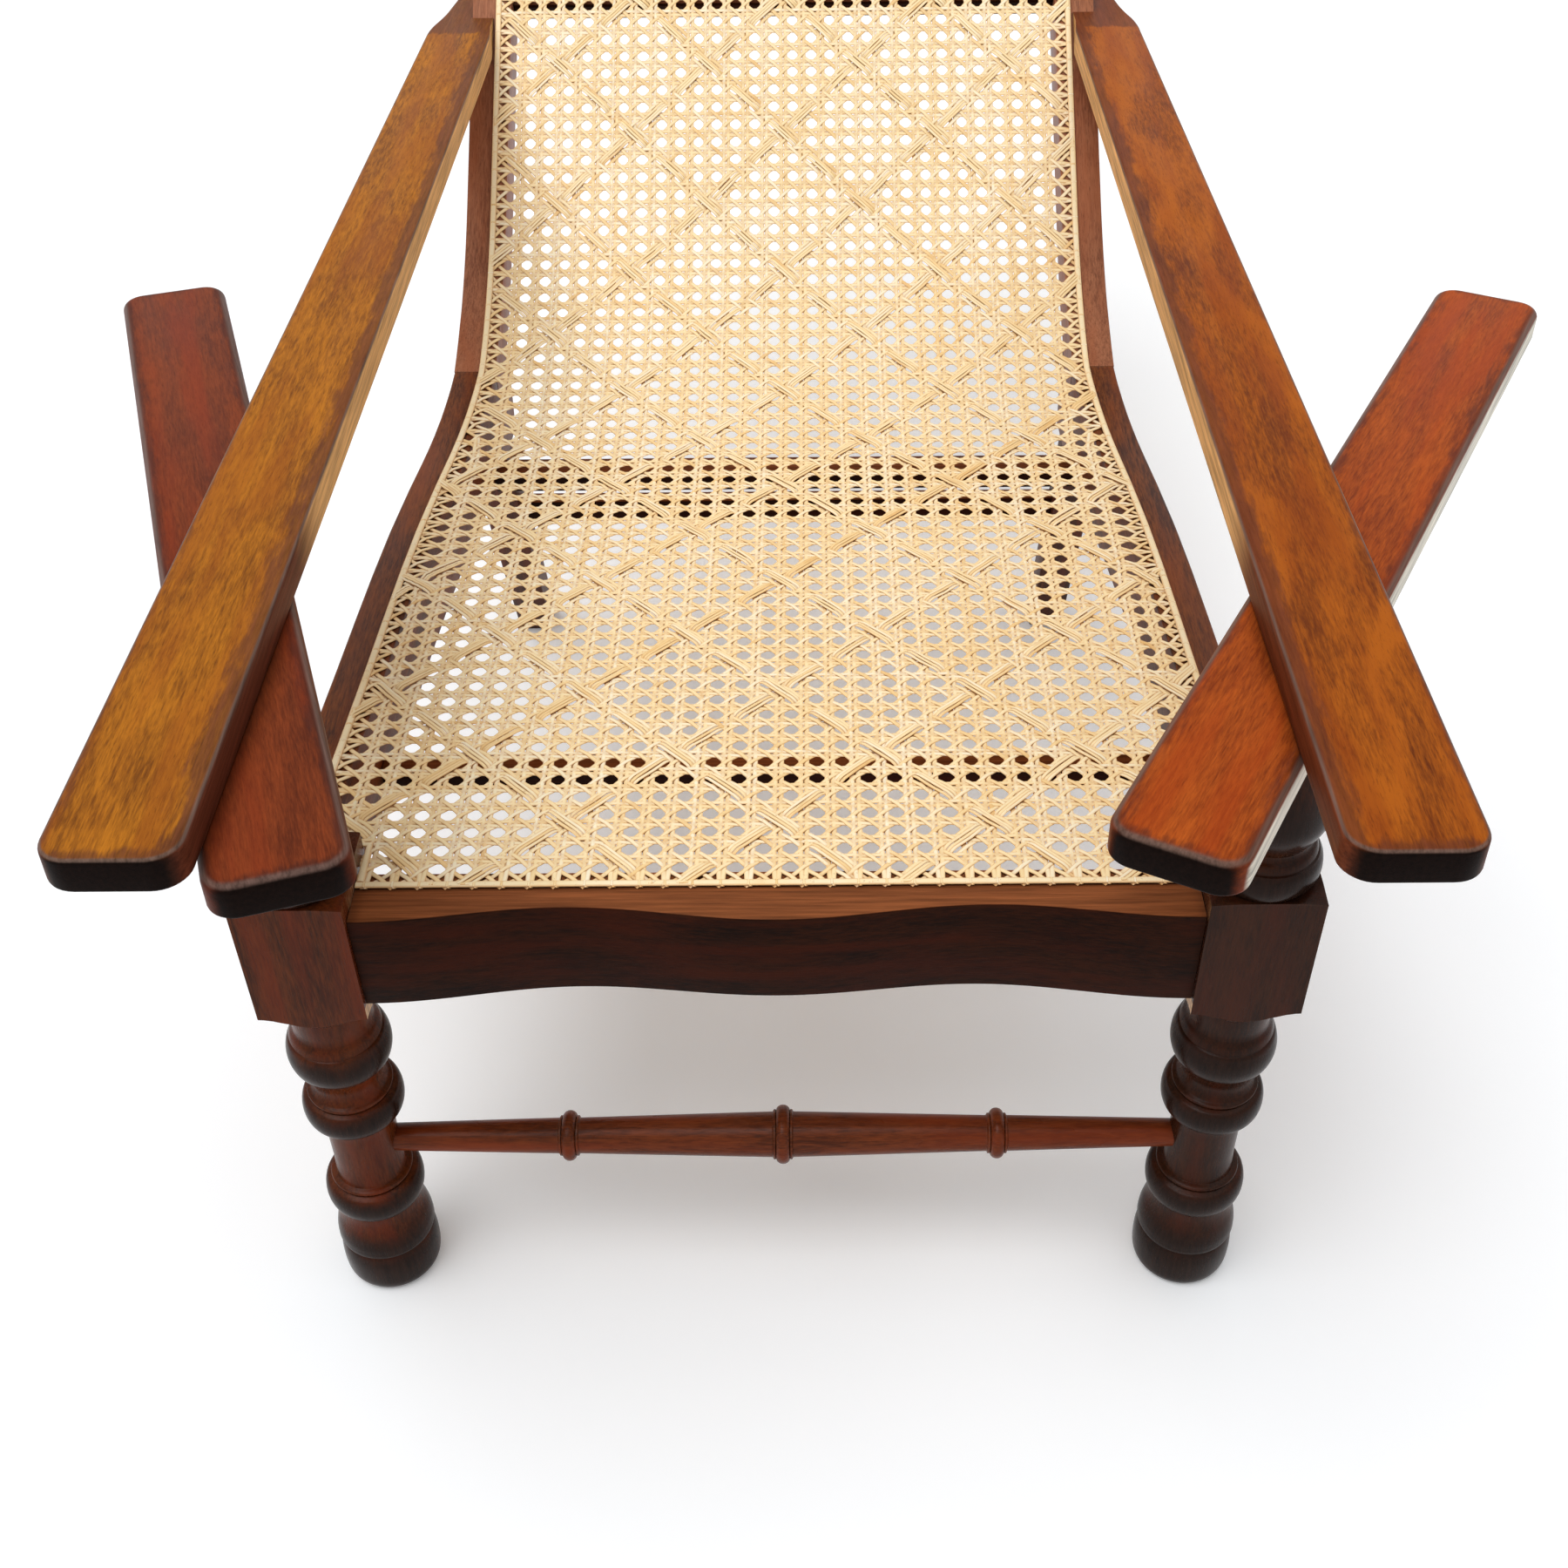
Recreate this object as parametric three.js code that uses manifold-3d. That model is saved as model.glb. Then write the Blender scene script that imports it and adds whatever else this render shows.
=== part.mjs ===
// Planters chair: a low reclining armchair in turned and shaped hardwood. One cane panel runs from the
// front rail up the curved back, and a leg rest swings out from under each long arm.
// Lengths are millimetres. While it is built, X is to the right as seen from the front, Y is to the back,
// Z is up, the floor is zero and the front legs stand on the line where Y is zero.
import * as THREE from 'three';
import { mergeVertices } from 'three/addons/utils/BufferGeometryUtils.js';
import Module from 'manifold-3d';

const wasm = await Module();
wasm.setup();
const radians = THREE.MathUtils.degToRad;

// Fits that every joint shares
const fitGap = 0.3;
const cutOverrun = 5;
const tenonLength = 22;
const tenonThickness = 12;
const tenonShoulder = 12;
const crossTenonLength = 14;
const crossTenonShoulder = 3;

// The line that the top of the side frames follows: a flat seat, a bend and a straight back
const caneFrontY = -2;
const seatFrontHeight = 384.2;
const seatSlope = radians(1.9);
const seatFlatLength = 510;
const bendRadius = 442;
const bendAngle = radians(38.4);
const bendSteps = 12;
const caneLength = 1445;
const seamLength = 631;

// Front legs
const legSpacing = 584;
const blockWidth = 69;
const blockLowHeight = 302;
const blockHighHeight = 398;
const pommelRise = 6;
const pommelCone = 14;
const turnSides = 20;
const soleRadius = 28;
const footHeight = 39;
const footRadius = 35;
const creaseRadius = 32;
const bulgeHighHeight = 67;
const bulgeRadius = 34.6;
const hollowRadius = 29;
const lowRingLowHeight = 82;
const lowRingHighHeight = 106;
const lowRingRadius = 34.5;
const lowBeadHighHeight = 112;
const lowBeadRadius = 28;
const columnRadius = 23.5;
const midRingLowHeight = 175;
const midRingHighHeight = 198;
const midRingRadius = 34.2;
const ledgeRadius = 28.5;
const coveHeight = 212;
const coveRadius = 23;
const ballLowHeight = 226;
const ballHighHeight = 264;
const ballRadius = 34.5;
const neckRadius = 27;
const topBeadHeight = 24;
const topBeadRadius = 35.5;
const vaseNeckRadius = 26;
const vaseRadius = 34.5;
const vaseTopRadius = 20;
const collarRadius = 25.5;
const collarHeight = 12;
const collarSetDown = 8;
const swellSteps = 6;
const lipSteps = 5;
const vaseSteps = 9;
const collarSteps = 4;

// Front rail and turned front stretcher
const railRecess = 4;
const railBackY = 13;
const railLowHeight = 311.5;
const railWaveDepth = 12;
const railWaveRise = 5;
const railWaveSteps = 24;
const stretcherHeight = 139;
const stretcherMiddleRadius = 15.8;
const stretcherEndRadius = 9.7;
const stretcherRingRadius = 20.5;
const stretcherSideRingRadius = 17.5;
const stretcherRingWidth = 10;
const stretcherRingPlace = 148.5;
const stretcherSink = 16;
const stretcherSides = 16;

// Side rails and back stiles
const railWidth = 35;
const railDepth = 75;
const railFrontHalfWidth = 319;
const stileHalfWidth = 281.5;
const stileDepth = 38;
const stileTopLength = 1494;
const lapLength = 65;
const railHeel = 14;
const railCurveSteps = 14;
const dowelRadius = 5;
const dowelSink = 15;

// Rails that cross the frame
const bearerY = 178;
const bearerThickness = 16;
const bearerLowHeight = 310;
const bearerHighHeight = 330;
const rearRailY = 593;
const rearRailThickness = 26;
const rearRailLowHeight = 290;
const rearRailHighHeight = 307;
const backRailLength = 1010;
const backRailWidth = 35;
const backRailThickness = 20;
const backRailSetBack = 10;
const crestLap = 14;
const crestThickness = 30;
const crestArch = 16;
const crestArchSteps = 12;

// Rear legs and rear stretcher
const rearFootY = 785;
const rearRake = radians(24);
const rearLegWidth = 33;
const rearFootDepth = 33;
const rearTopDepth = 40;
const rearStretcherMidHeight = 196;
const rearStretcherHeight = 22;
const rearStretcherThickness = 16;

// Arms
const armTopHeight = 608.5;
const armSlope = radians(2.69);
const armThickness = 20;
const armInnerX = 259;
const armFrontOuterX = 326.3;
const armRearOuterX = 317.3;
const armFrontReach = 217.5;
const armShoulderAhead = 28.1;
const armTaperBehind = 9.9;
const armTaperX = 308.5;
const armTailBehind = 77.9;
const armTailX = 301;
const armNipAhead = 58.1;
const armNip = 3.4;
const armCornerRadius = 16;
const armShoulderRadius = 12;
const armTailRadius = 8;
const armEase = 3;
const armEaseSteps = 2;
const armCurveSteps = 5;

// Leg rests, their pins and the angles at which they are left
const restWidth = 69.5;
const restOffset = 3;
const restThickness = 21;
const restRearReach = 437;
const restFrontReach = 218;
const restCornerRadius = 14;
const restEase = 3.5;
const leftRestAngle = radians(18.4);
const rightRestAngle = radians(-27.8);
const pinRadius = 9;
const pinPlay = 0.7;
const pinInArm = 13;
const pinInPost = 40;
const pinSides = 24;

// Arm screws
const screwRadius = 2.4;
const screwHeadRadius = 5;
const screwHeadHeight = 3;
const screwCounterbore = 4.5;
const screwInStile = 22;
const screwSides = 12;

// Cane and its binders
const caneThickness = 1.5;
const caneMargin = 21.5;
const caneBlockGap = 0.6;
const caneColumns = 10;
const caneRows = 28;
const caneOpenShare = 0.47;
const binderWidth = 5;
const binderThickness = 1.2;

const half = (size) => size / 2;

// Booleans need a closed mesh of shared corners, without the slivers that lie on a turning axis.
function solidOf(geometry) {
  geometry.deleteAttribute('normal');
  geometry.deleteAttribute('uv');
  const merged = mergeVertices(geometry);
  const corners = [];
  for (let i = 0; i < merged.index.count; i += 3) {
    const [a, b, c] = merged.index.array.slice(i, i + 3);
    if (a !== b && b !== c && c !== a) {
      corners.push(a, b, c);
    }
  }
  const vertProperties = merged.attributes.position.array;
  return new wasm.Manifold(new wasm.Mesh({ numProp: 3, vertProperties, triVerts: new Uint32Array(corners) }));
}

function geometryOf(solid) {
  const mesh = solid.getMesh();
  const geometry = new THREE.BufferGeometry();
  geometry.setAttribute('position', new THREE.BufferAttribute(mesh.vertProperties, 3));
  geometry.setIndex(new THREE.BufferAttribute(mesh.triVerts, 1));
  geometry.computeVertexNormals();
  return geometry;
}

// A solid between two opposite corners, grown on every side by a clearance.
function boxBetween(a, b, clearance = 0) {
  const low = a.map((value, i) => Math.min(value, b[i]) - clearance);
  const high = a.map((value, i) => Math.max(value, b[i]) + clearance);
  const geometry = new THREE.BoxGeometry(high[0] - low[0], high[1] - low[1], high[2] - low[2]);
  geometry.translate(half(low[0] + high[0]), half(low[1] + high[1]), half(low[2] + high[2]));
  return solidOf(geometry);
}

function shapeOf(points) {
  return new THREE.Shape(points.map(([u, v]) => new THREE.Vector2(u, v)));
}

function prism(shape, low, high, basis) {
  const geometry = new THREE.ExtrudeGeometry(shape, { depth: high - low, bevelEnabled: false });
  geometry.translate(0, 0, low);
  geometry.applyMatrix4(basis);
  return solidOf(geometry);
}

const axisX = new THREE.Vector3(1, 0, 0);
const axisY = new THREE.Vector3(0, 1, 0);
const axisZ = new THREE.Vector3(0, 0, 1);
const planBasis = new THREE.Matrix4();
const sideBasis = new THREE.Matrix4().makeBasis(axisY, axisZ, axisX);
const frontBasis = new THREE.Matrix4().makeBasis(axisX, axisZ, axisY.clone().negate());

// Outlines drawn in plan as x and y, from the side as y and z, and from the front as x and z.
const planPrism = (points, lowZ, highZ) => prism(shapeOf(points), lowZ, highZ, planBasis);
const sidePrism = (points, lowX, highX) => prism(shapeOf(points), lowX, highX, sideBasis);
const frontPrism = (points, lowY, highY) => prism(shapeOf(points), -highY, -lowY, frontBasis);

// A turned piece from its profile of radius and height, closed on the axis at both ends.
function turned(profile, sides) {
  const points = profile.map(([radius, height]) => new THREE.Vector2(radius, height));
  const first = new THREE.Vector2(0, profile[0][1]);
  const last = new THREE.Vector2(0, profile[profile.length - 1][1]);
  const geometry = new THREE.LatheGeometry([first, ...points, last], sides);
  geometry.rotateX(half(Math.PI));
  return geometry;
}

// A rounded swelling between two heights, as a lathe tool leaves it.
function swelling(lowHeight, highHeight, lowRadius, highRadius, crownRadius, steps) {
  const points = [];
  for (let i = 0; i <= steps; i += 1) {
    const turn = (Math.PI * i) / steps;
    const share = half(1 - Math.cos(turn));
    const base = lowRadius + (highRadius - lowRadius) * share;
    points.push([base + (crownRadius - base) * Math.sin(turn), lowHeight + (highHeight - lowHeight) * share]);
  }
  return points;
}

// The point at a length along the seat and back line, lifted off the wood by a height.
function lineAt(length, lift) {
  const flat = Math.min(length, seatFlatLength);
  const turn = Math.min(Math.max((length - seatFlatLength) / bendRadius, 0), bendAngle);
  const straight = Math.max(length - seatFlatLength - bendRadius * bendAngle, 0);
  const angle = turn - seatSlope;
  const along = flat * Math.cos(seatSlope) + bendRadius * (Math.sin(angle) + Math.sin(seatSlope));
  const rise = bendRadius * (Math.cos(seatSlope) - Math.cos(angle)) - flat * Math.sin(seatSlope);
  const y = caneFrontY + along + straight * Math.cos(angle) - lift * Math.sin(angle);
  return [y, seatFrontHeight + rise + straight * Math.sin(angle) + lift * Math.cos(angle)];
}

function linePoints(low, high, lift) {
  const stations = [low];
  for (let i = 0; i <= bendSteps; i += 1) {
    const length = seatFlatLength + (bendRadius * bendAngle * i) / bendSteps;
    if (length > low && length < high) {
      stations.push(length);
    }
  }
  stations.push(high);
  return stations.map((length) => lineAt(length, lift));
}

const lineBand = (low, high, lowLift, highLift) => [
  ...linePoints(low, high, lowLift),
  ...linePoints(low, high, highLift).reverse(),
];

// The flat seat's own straight line: its length and its height at a place behind the front.
const flatLengthAt = (y) => (y - caneFrontY) / Math.cos(seatSlope);
const seatHeightAt = (y) => seatFrontHeight - (y - caneFrontY) * Math.tan(seatSlope);
const backAngle = bendAngle - seatSlope;

// Places that several pieces share
const legX = half(legSpacing);
const blockHalf = half(blockWidth);
const blockInnerX = legX - blockHalf;
const blockBackY = blockHalf;
const seamPoint = lineAt(seamLength, 0);
const stileInnerX = stileHalfWidth - railWidth;

// Plan of the side frames: the outer face bows in from the front leg to the straight stile.
const railSwellShares = [[0, 1], [0.27, 0.81], [0.62, 0.56], [0.94, 0.08], [1, 0]];

function railCurve() {
  const taper = railFrontHalfWidth - stileHalfWidth;
  const run = seamPoint[0] - blockBackY;
  const knots = railSwellShares.map(
    ([place, swell]) => new THREE.Vector2(blockBackY + place * run, stileHalfWidth + swell * taper),
  );
  return new THREE.SplineCurve(knots).getPoints(railCurveSteps).map((point) => [point.x, point.y]);
}

const railCurvePoints = railCurve();

// The outer face in plan from one place to another, moved in by an inset.
function frameEdge(side, lowY, highY, inset) {
  const between = railCurvePoints.filter(([y]) => y > lowY && y < highY);
  const stations = [lowY, ...between.map(([y]) => y), highY];
  return stations.map((y) => [side * (outerXAt(y) - inset), y]);
}

function outerXAt(y) {
  const last = railCurvePoints[railCurvePoints.length - 1];
  if (y <= railCurvePoints[0][0]) {
    return railFrontHalfWidth;
  }
  if (y >= last[0]) {
    return stileHalfWidth;
  }
  const i = railCurvePoints.findIndex(([place]) => place >= y);
  const [lowY, lowX] = railCurvePoints[i - 1];
  const [highY, highX] = railCurvePoints[i];
  return lowX + ((highX - lowX) * (y - lowY)) / (highY - lowY);
}

// The plane of the arms: level from side to side and falling to the back.
const armPlane = new THREE.Matrix4().makeRotationX(-armSlope).setPosition(0, 0, armTopHeight);
const restTopDrop = armThickness + fitGap;
const postTopDrop = restTopDrop + restThickness + fitGap;

function placed(geometry, ...matrices) {
  matrices.forEach((matrix) => geometry.applyMatrix4(matrix));
  return solidOf(geometry);
}

// A round bar along the axis of a leg rest's pin, between two drops below the top of the arm.
function pinBar(side, radius, highDrop, lowDrop) {
  const bar = turned([[radius, -lowDrop], [radius, -highDrop]], pinSides);
  return placed(bar, new THREE.Matrix4().makeTranslation(side * legX, 0, 0), armPlane);
}

// Tenons that more than one piece refers to, each as the two corners of its box
const railTenonY = half(railBackY - blockHalf + railRecess);

const frontRailTenon = (side) => [
  [side * (blockInnerX - cutOverrun), railTenonY - half(tenonThickness), railLowHeight + tenonShoulder],
  [side * (blockInnerX + tenonLength), railTenonY + half(tenonThickness), seatFrontHeight - tenonShoulder],
];

function sideRailTenon(side) {
  const middleX = railFrontHalfWidth - half(railWidth);
  const top = seatHeightAt(blockBackY);
  return [
    [side * (middleX - half(tenonThickness)), blockBackY - tenonLength, top - railDepth + tenonShoulder],
    [side * (middleX + half(tenonThickness)), blockBackY + cutOverrun, top - tenonShoulder],
  ];
}

function crossTenon(side, faceX, y, thickness, low, high) {
  const inner = half(thickness) - crossTenonShoulder;
  return [
    [side * (faceX - cutOverrun), y - inner, low + crossTenonShoulder],
    [side * (faceX + crossTenonLength), y + inner, high - crossTenonShoulder],
  ];
}

const bearerTenon = (side) => {
  const faceX = outerXAt(bearerY) - railWidth;
  return crossTenon(side, faceX, bearerY, bearerThickness, bearerLowHeight, bearerHighHeight);
};

const rearRailTenon = (side) => {
  const faceX = outerXAt(rearRailY) - railWidth;
  return crossTenon(side, faceX, rearRailY, rearRailThickness, rearRailLowHeight, rearRailHighHeight);
};

// Rear legs: the axis leans forward as it rises to the underside of the side rail.
const rearAxisY = (height) => rearFootY - height * Math.tan(rearRake);
const railUnderHeightAt = (y) => seatHeightAt(y) - railDepth;
const rearTopHeight = (railUnderHeightAt(0) - rearFootY * Math.tan(seatSlope)) /
  (1 - Math.tan(rearRake) * Math.tan(seatSlope));
const rearStretcherY = rearAxisY(rearStretcherMidHeight);
const rearLegX = stileHalfWidth - half(rearLegWidth);
const rearLegInnerX = stileHalfWidth - rearLegWidth;

const rearStretcherTenon = (side) => crossTenon(
  side,
  rearLegInnerX,
  rearStretcherY,
  rearStretcherThickness,
  rearStretcherMidHeight - half(rearStretcherHeight),
  rearStretcherMidHeight + half(rearStretcherHeight),
);

const rearLegTenon = (side) => [
  [side * (rearLegX - half(tenonThickness)), rearAxisY(rearTopHeight) - half(tenonLength),
    rearTopHeight - cutOverrun],
  [side * (rearLegX + half(tenonThickness)), rearAxisY(rearTopHeight) + half(tenonLength),
    rearTopHeight + tenonLength],
];

// Pieces that lie in the plane of the back, drawn as x and length along the line.
const backFrame = (() => {
  const [y, z] = lineAt(caneLength, 0);
  const up = new THREE.Vector3(0, Math.cos(backAngle), Math.sin(backAngle));
  const out = new THREE.Vector3().crossVectors(axisX, up);
  return new THREE.Matrix4().makeBasis(axisX, up, out).setPosition(0, y, z);
})();

function backPrism(points, lowLift, highLift) {
  const local = points.map(([x, length]) => [x, length - caneLength]);
  return prism(shapeOf(local), lowLift, highLift, backFrame);
}

const strip = (lowX, highX, low, high) => [[lowX, low], [highX, low], [highX, high], [lowX, high]];

function backTenon(side, low, high, lowLift, highLift, clearance) {
  const shoulder = crossTenonShoulder - clearance;
  const ends = [side * (stileInnerX - cutOverrun), side * (stileInnerX + crossTenonLength + clearance)];
  const outline = strip(Math.min(...ends), Math.max(...ends), low + shoulder, high - shoulder);
  return backPrism(outline, lowLift + shoulder, highLift - shoulder);
}

const backRailLifts = [-backRailSetBack - backRailThickness, -backRailSetBack];
const crestLowLength = caneLength - crestLap;
const crestLifts = [-crestThickness, 0];

// A dowel square to the lap between side rail and stile.
function lapDowelSolid(side, clearance) {
  const length = seamLength + half(lapLength);
  const [lowY, lowZ] = lineAt(length, -stileDepth - dowelSink - clearance);
  const [highY, highZ] = lineAt(length, -stileDepth + dowelSink + clearance);
  const radius = dowelRadius + clearance;
  const run = Math.hypot(highY - lowY, highZ - lowZ);
  const bar = turned([[radius, 0], [radius, run]], screwSides);
  const tilt = new THREE.Matrix4().makeRotationX(Math.atan2(lowY - highY, highZ - lowZ));
  const place = new THREE.Matrix4().makeTranslation(side * (stileHalfWidth - half(railWidth)), lowY, lowZ);
  return placed(bar, tilt, place);
}

// Where a line along the stile, at a lift off its front, meets a level of the arm at a drop below its top.
function armMeetsStile(lift, drop) {
  const [lineY, lineZ] = lineAt(caneLength, lift);
  const armHeightAt = (y) => armTopHeight - drop - y * Math.tan(armSlope);
  const slope = Math.tan(backAngle);
  const y = (armHeightAt(0) - lineZ + lineY * slope) / (slope + Math.tan(armSlope));
  return [y, armHeightAt(y)];
}

// The arm's rear end is set out along the board from the line where its top butts the stile.
const armButtReach = armMeetsStile(0, 0)[0] / Math.cos(armSlope);
const armNipReach = armButtReach - armNipAhead;
const armShoulderReach = armButtReach - armShoulderAhead;
const armTaperReach = armButtReach + armTaperBehind;
const armRearReach = armButtReach + armTailBehind;

// The arm screw enters from outside, through the tail of the arm and into the middle of the stile.
const screwPlace = armMeetsStile(-half(stileDepth), half(armThickness));
const screwHeadX = armTailX + ((armTaperX - armTailX) * (armRearReach - screwPlace[0])) /
  (armRearReach - armTaperReach) - screwCounterbore;

function screwBar(side, radius, lowX, highX) {
  const bar = turned([[radius, lowX], [radius, highX]], screwSides);
  const lay = new THREE.Matrix4().makeRotationY(half(side * Math.PI));
  return placed(bar, lay, new THREE.Matrix4().makeTranslation(0, ...screwPlace));
}

// Front leg, turned above and below a square block, standing on the origin
function lowerLegProfile() {
  return [
    ...swelling(0, footHeight, soleRadius, creaseRadius, footRadius, swellSteps),
    ...swelling(footHeight, bulgeHighHeight, creaseRadius, hollowRadius, bulgeRadius, lipSteps).slice(1),
    [hollowRadius, lowRingLowHeight],
    ...swelling(lowRingLowHeight, lowRingHighHeight, hollowRadius, lowBeadRadius, lowRingRadius, swellSteps)
      .slice(1),
    [lowBeadRadius, half(lowRingHighHeight + lowBeadHighHeight)],
    [columnRadius, lowBeadHighHeight],
    [columnRadius, midRingLowHeight],
    ...swelling(midRingLowHeight, midRingHighHeight, columnRadius, ledgeRadius, midRingRadius, swellSteps)
      .slice(1),
    [coveRadius, coveHeight],
    ...swelling(ballLowHeight, ballHighHeight, ledgeRadius, creaseRadius, ballRadius, swellSteps),
    [neckRadius, blockLowHeight - pommelRise - pommelCone],
    [neckRadius, blockLowHeight],
  ];
}

// The vase of the post: its radii from the bead up to the collar, and the share of its height of each
const vaseRadii = [vaseNeckRadius, vaseRadius, half(vaseRadius + vaseTopRadius), vaseTopRadius];
const vaseHeightShares = [0.03, 0.24, 0.56, 1];

function upperLegProfile() {
  const beadLow = blockHighHeight - half(pommelRise);
  const beadHigh = blockHighHeight + topBeadHeight;
  const collarLow = armTopHeight - postTopDrop - collarSetDown - collarHeight;
  const collarHigh = collarLow + collarHeight;
  const knots = vaseRadii.map(
    (radius, i) => new THREE.Vector2(radius, beadHigh + vaseHeightShares[i] * (collarLow - beadHigh)),
  );
  return [
    [neckRadius, blockHighHeight - pommelRise],
    ...swelling(beadLow, beadHigh, creaseRadius, ledgeRadius, topBeadRadius, swellSteps),
    ...new THREE.SplineCurve(knots).getPoints(vaseSteps).map((point) => [point.x, point.y]),
    ...swelling(collarLow, collarHigh, vaseTopRadius, vaseTopRadius, collarRadius, collarSteps).slice(1),
    [vaseTopRadius, armTopHeight],
  ];
}

function legBlock() {
  const corner = blockWidth * Math.SQRT1_2 + cutOverrun;
  const lowCone = blockLowHeight - pommelRise;
  const pommel = turned([
    [neckRadius, lowCone - pommelCone],
    [blockHalf, lowCone],
    [blockWidth * Math.SQRT1_2, blockLowHeight],
    [corner, blockLowHeight],
    [corner, blockHighHeight],
    [blockWidth * Math.SQRT1_2, blockHighHeight],
    [blockHalf, blockHighHeight + half(pommelRise)],
  ], turnSides * 2);
  const square = boxBetween(
    [-blockHalf, -blockHalf, lowCone - pommelCone],
    [blockHalf, blockHalf, blockHighHeight + pommelRise],
  );
  return solidOf(pommel).intersect(square);
}

function frontLeg(side) {
  const move = new THREE.Matrix4().makeTranslation(side * legX, 0, 0);
  const lower = solidOf(turned(lowerLegProfile(), turnSides));
  const upper = solidOf(turned(upperLegProfile(), turnSides));
  const whole = lower.add(legBlock()).add(upper);
  const leg = placed(geometryOf(whole), move);
  const above = new THREE.BoxGeometry(legSpacing, legSpacing, armTopHeight);
  const lift = new THREE.Matrix4().makeTranslation(side * legX, 0, half(armTopHeight) - postTopDrop);
  return leg
    .subtract(placed(above, lift, armPlane))
    .subtract(pinBar(side, pinRadius + fitGap, 0, postTopDrop + pinInPost + fitGap))
    .subtract(boxBetween(...frontRailTenon(side), fitGap))
    .subtract(boxBetween(...sideRailTenon(side), fitGap))
    .subtract(stretcherSocket(side));
}

// Front rail: a serpentine face over a lower edge that rises in the middle
function frontRail() {
  const end = blockInnerX - fitGap;
  const faceY = -blockHalf + railRecess;
  const wave = (x) => half(1 - Math.cos((4 * Math.PI * x) / (2 * blockInnerX)));
  const steps = Array.from({ length: railWaveSteps + 1 }, (_, i) => end * (2 * (i / railWaveSteps) - 1));
  const face = steps.map((x) => [x, faceY + railWaveDepth * wave(x)]);
  const arch = (x) => half(1 + Math.cos((Math.PI * x) / blockInnerX)) ** 2;
  const under = steps.map((x) => [x, railLowHeight + railWaveRise * arch(x)]);
  const plan = planPrism([...face, [end, railBackY], [-end, railBackY]], railLowHeight - cutOverrun,
    seatFrontHeight + cutOverrun);
  const front = frontPrism([...under, [end, seatFrontHeight + cutOverrun], [-end, seatFrontHeight + cutOverrun]],
    faceY - cutOverrun, railBackY + cutOverrun);
  const frontLength = flatLengthAt(faceY - cutOverrun);
  const backLength = flatLengthAt(railBackY + cutOverrun);
  const top = sidePrism(lineBand(frontLength, backLength, -seatFrontHeight, 0), -legX, legX);
  return plan.intersect(front).intersect(top)
    .add(boxBetween(...frontRailTenon(1)))
    .add(boxBetween(...frontRailTenon(-1)));
}

// Turned front stretcher, whose tapered ends sink into the plain columns of the legs
function stretcherSocket(side) {
  const radius = stretcherEndRadius + fitGap * 2;
  const depth = legX - columnRadius + stretcherSink + fitGap;
  return layAlongX(turned([[radius, side * depth], [radius, side * (depth - stretcherSink - cutOverrun)]]
    .sort((a, b) => a[1] - b[1]), stretcherSides));
}

function layAlongX(geometry) {
  const lay = new THREE.Matrix4().makeRotationY(half(Math.PI));
  return placed(geometry, lay, new THREE.Matrix4().makeTranslation(0, 0, stretcherHeight));
}

function frontStretcher() {
  const end = legX - columnRadius + stretcherSink;
  const taper = (x) => stretcherMiddleRadius +
    (stretcherEndRadius - stretcherMiddleRadius) * Math.abs(x) / (legX - columnRadius);
  const ring = (x, crown) => swelling(x - half(stretcherRingWidth), x + half(stretcherRingWidth),
    taper(x), taper(x), crown, swellSteps);
  const place = stretcherRingPlace;
  return layAlongX(turned([
    [stretcherEndRadius, -end],
    [stretcherEndRadius, columnRadius - legX],
    ...ring(-place, stretcherSideRingRadius),
    ...ring(0, stretcherRingRadius),
    ...ring(place, stretcherSideRingRadius),
    [stretcherEndRadius, legX - columnRadius],
    [stretcherEndRadius, end],
  ], stretcherSides));
}

// Side rail: tenoned into the front leg, and stepped down at the back to carry the stile
function sideRail(side) {
  const startY = blockBackY + fitGap;
  const lapEnd = lineAt(seamLength + lapLength, -stileDepth - fitGap);
  const heelY = rearAxisY(rearTopHeight) + half(rearTopDepth) / Math.cos(rearRake) + railHeel;
  const outline = [
    ...linePoints(flatLengthAt(startY), seamLength, 0),
    ...linePoints(seamLength, seamLength + lapLength, -stileDepth - fitGap),
    [Math.max(heelY, lapEnd[0] - railHeel), railUnderHeightAt(heelY)],
    [startY, railUnderHeightAt(startY)],
  ];
  const width = railFrontHalfWidth + cutOverrun;
  const profile = sidePrism(outline, -width, width);
  const endY = lapEnd[0] + cutOverrun;
  const plan = [...frameEdge(side, startY, endY, 0), ...frameEdge(side, startY, endY, railWidth).reverse()];
  const body = planPrism(plan, 0, lapEnd[1] + seatFrontHeight);
  return body.intersect(profile)
    .add(boxBetween(...sideRailTenon(side)))
    .subtract(boxBetween(...bearerTenon(side), fitGap))
    .subtract(boxBetween(...rearRailTenon(side), fitGap))
    .subtract(boxBetween(...rearLegTenon(side), fitGap))
    .subtract(lapDowelSolid(side, fitGap));
}

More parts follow.
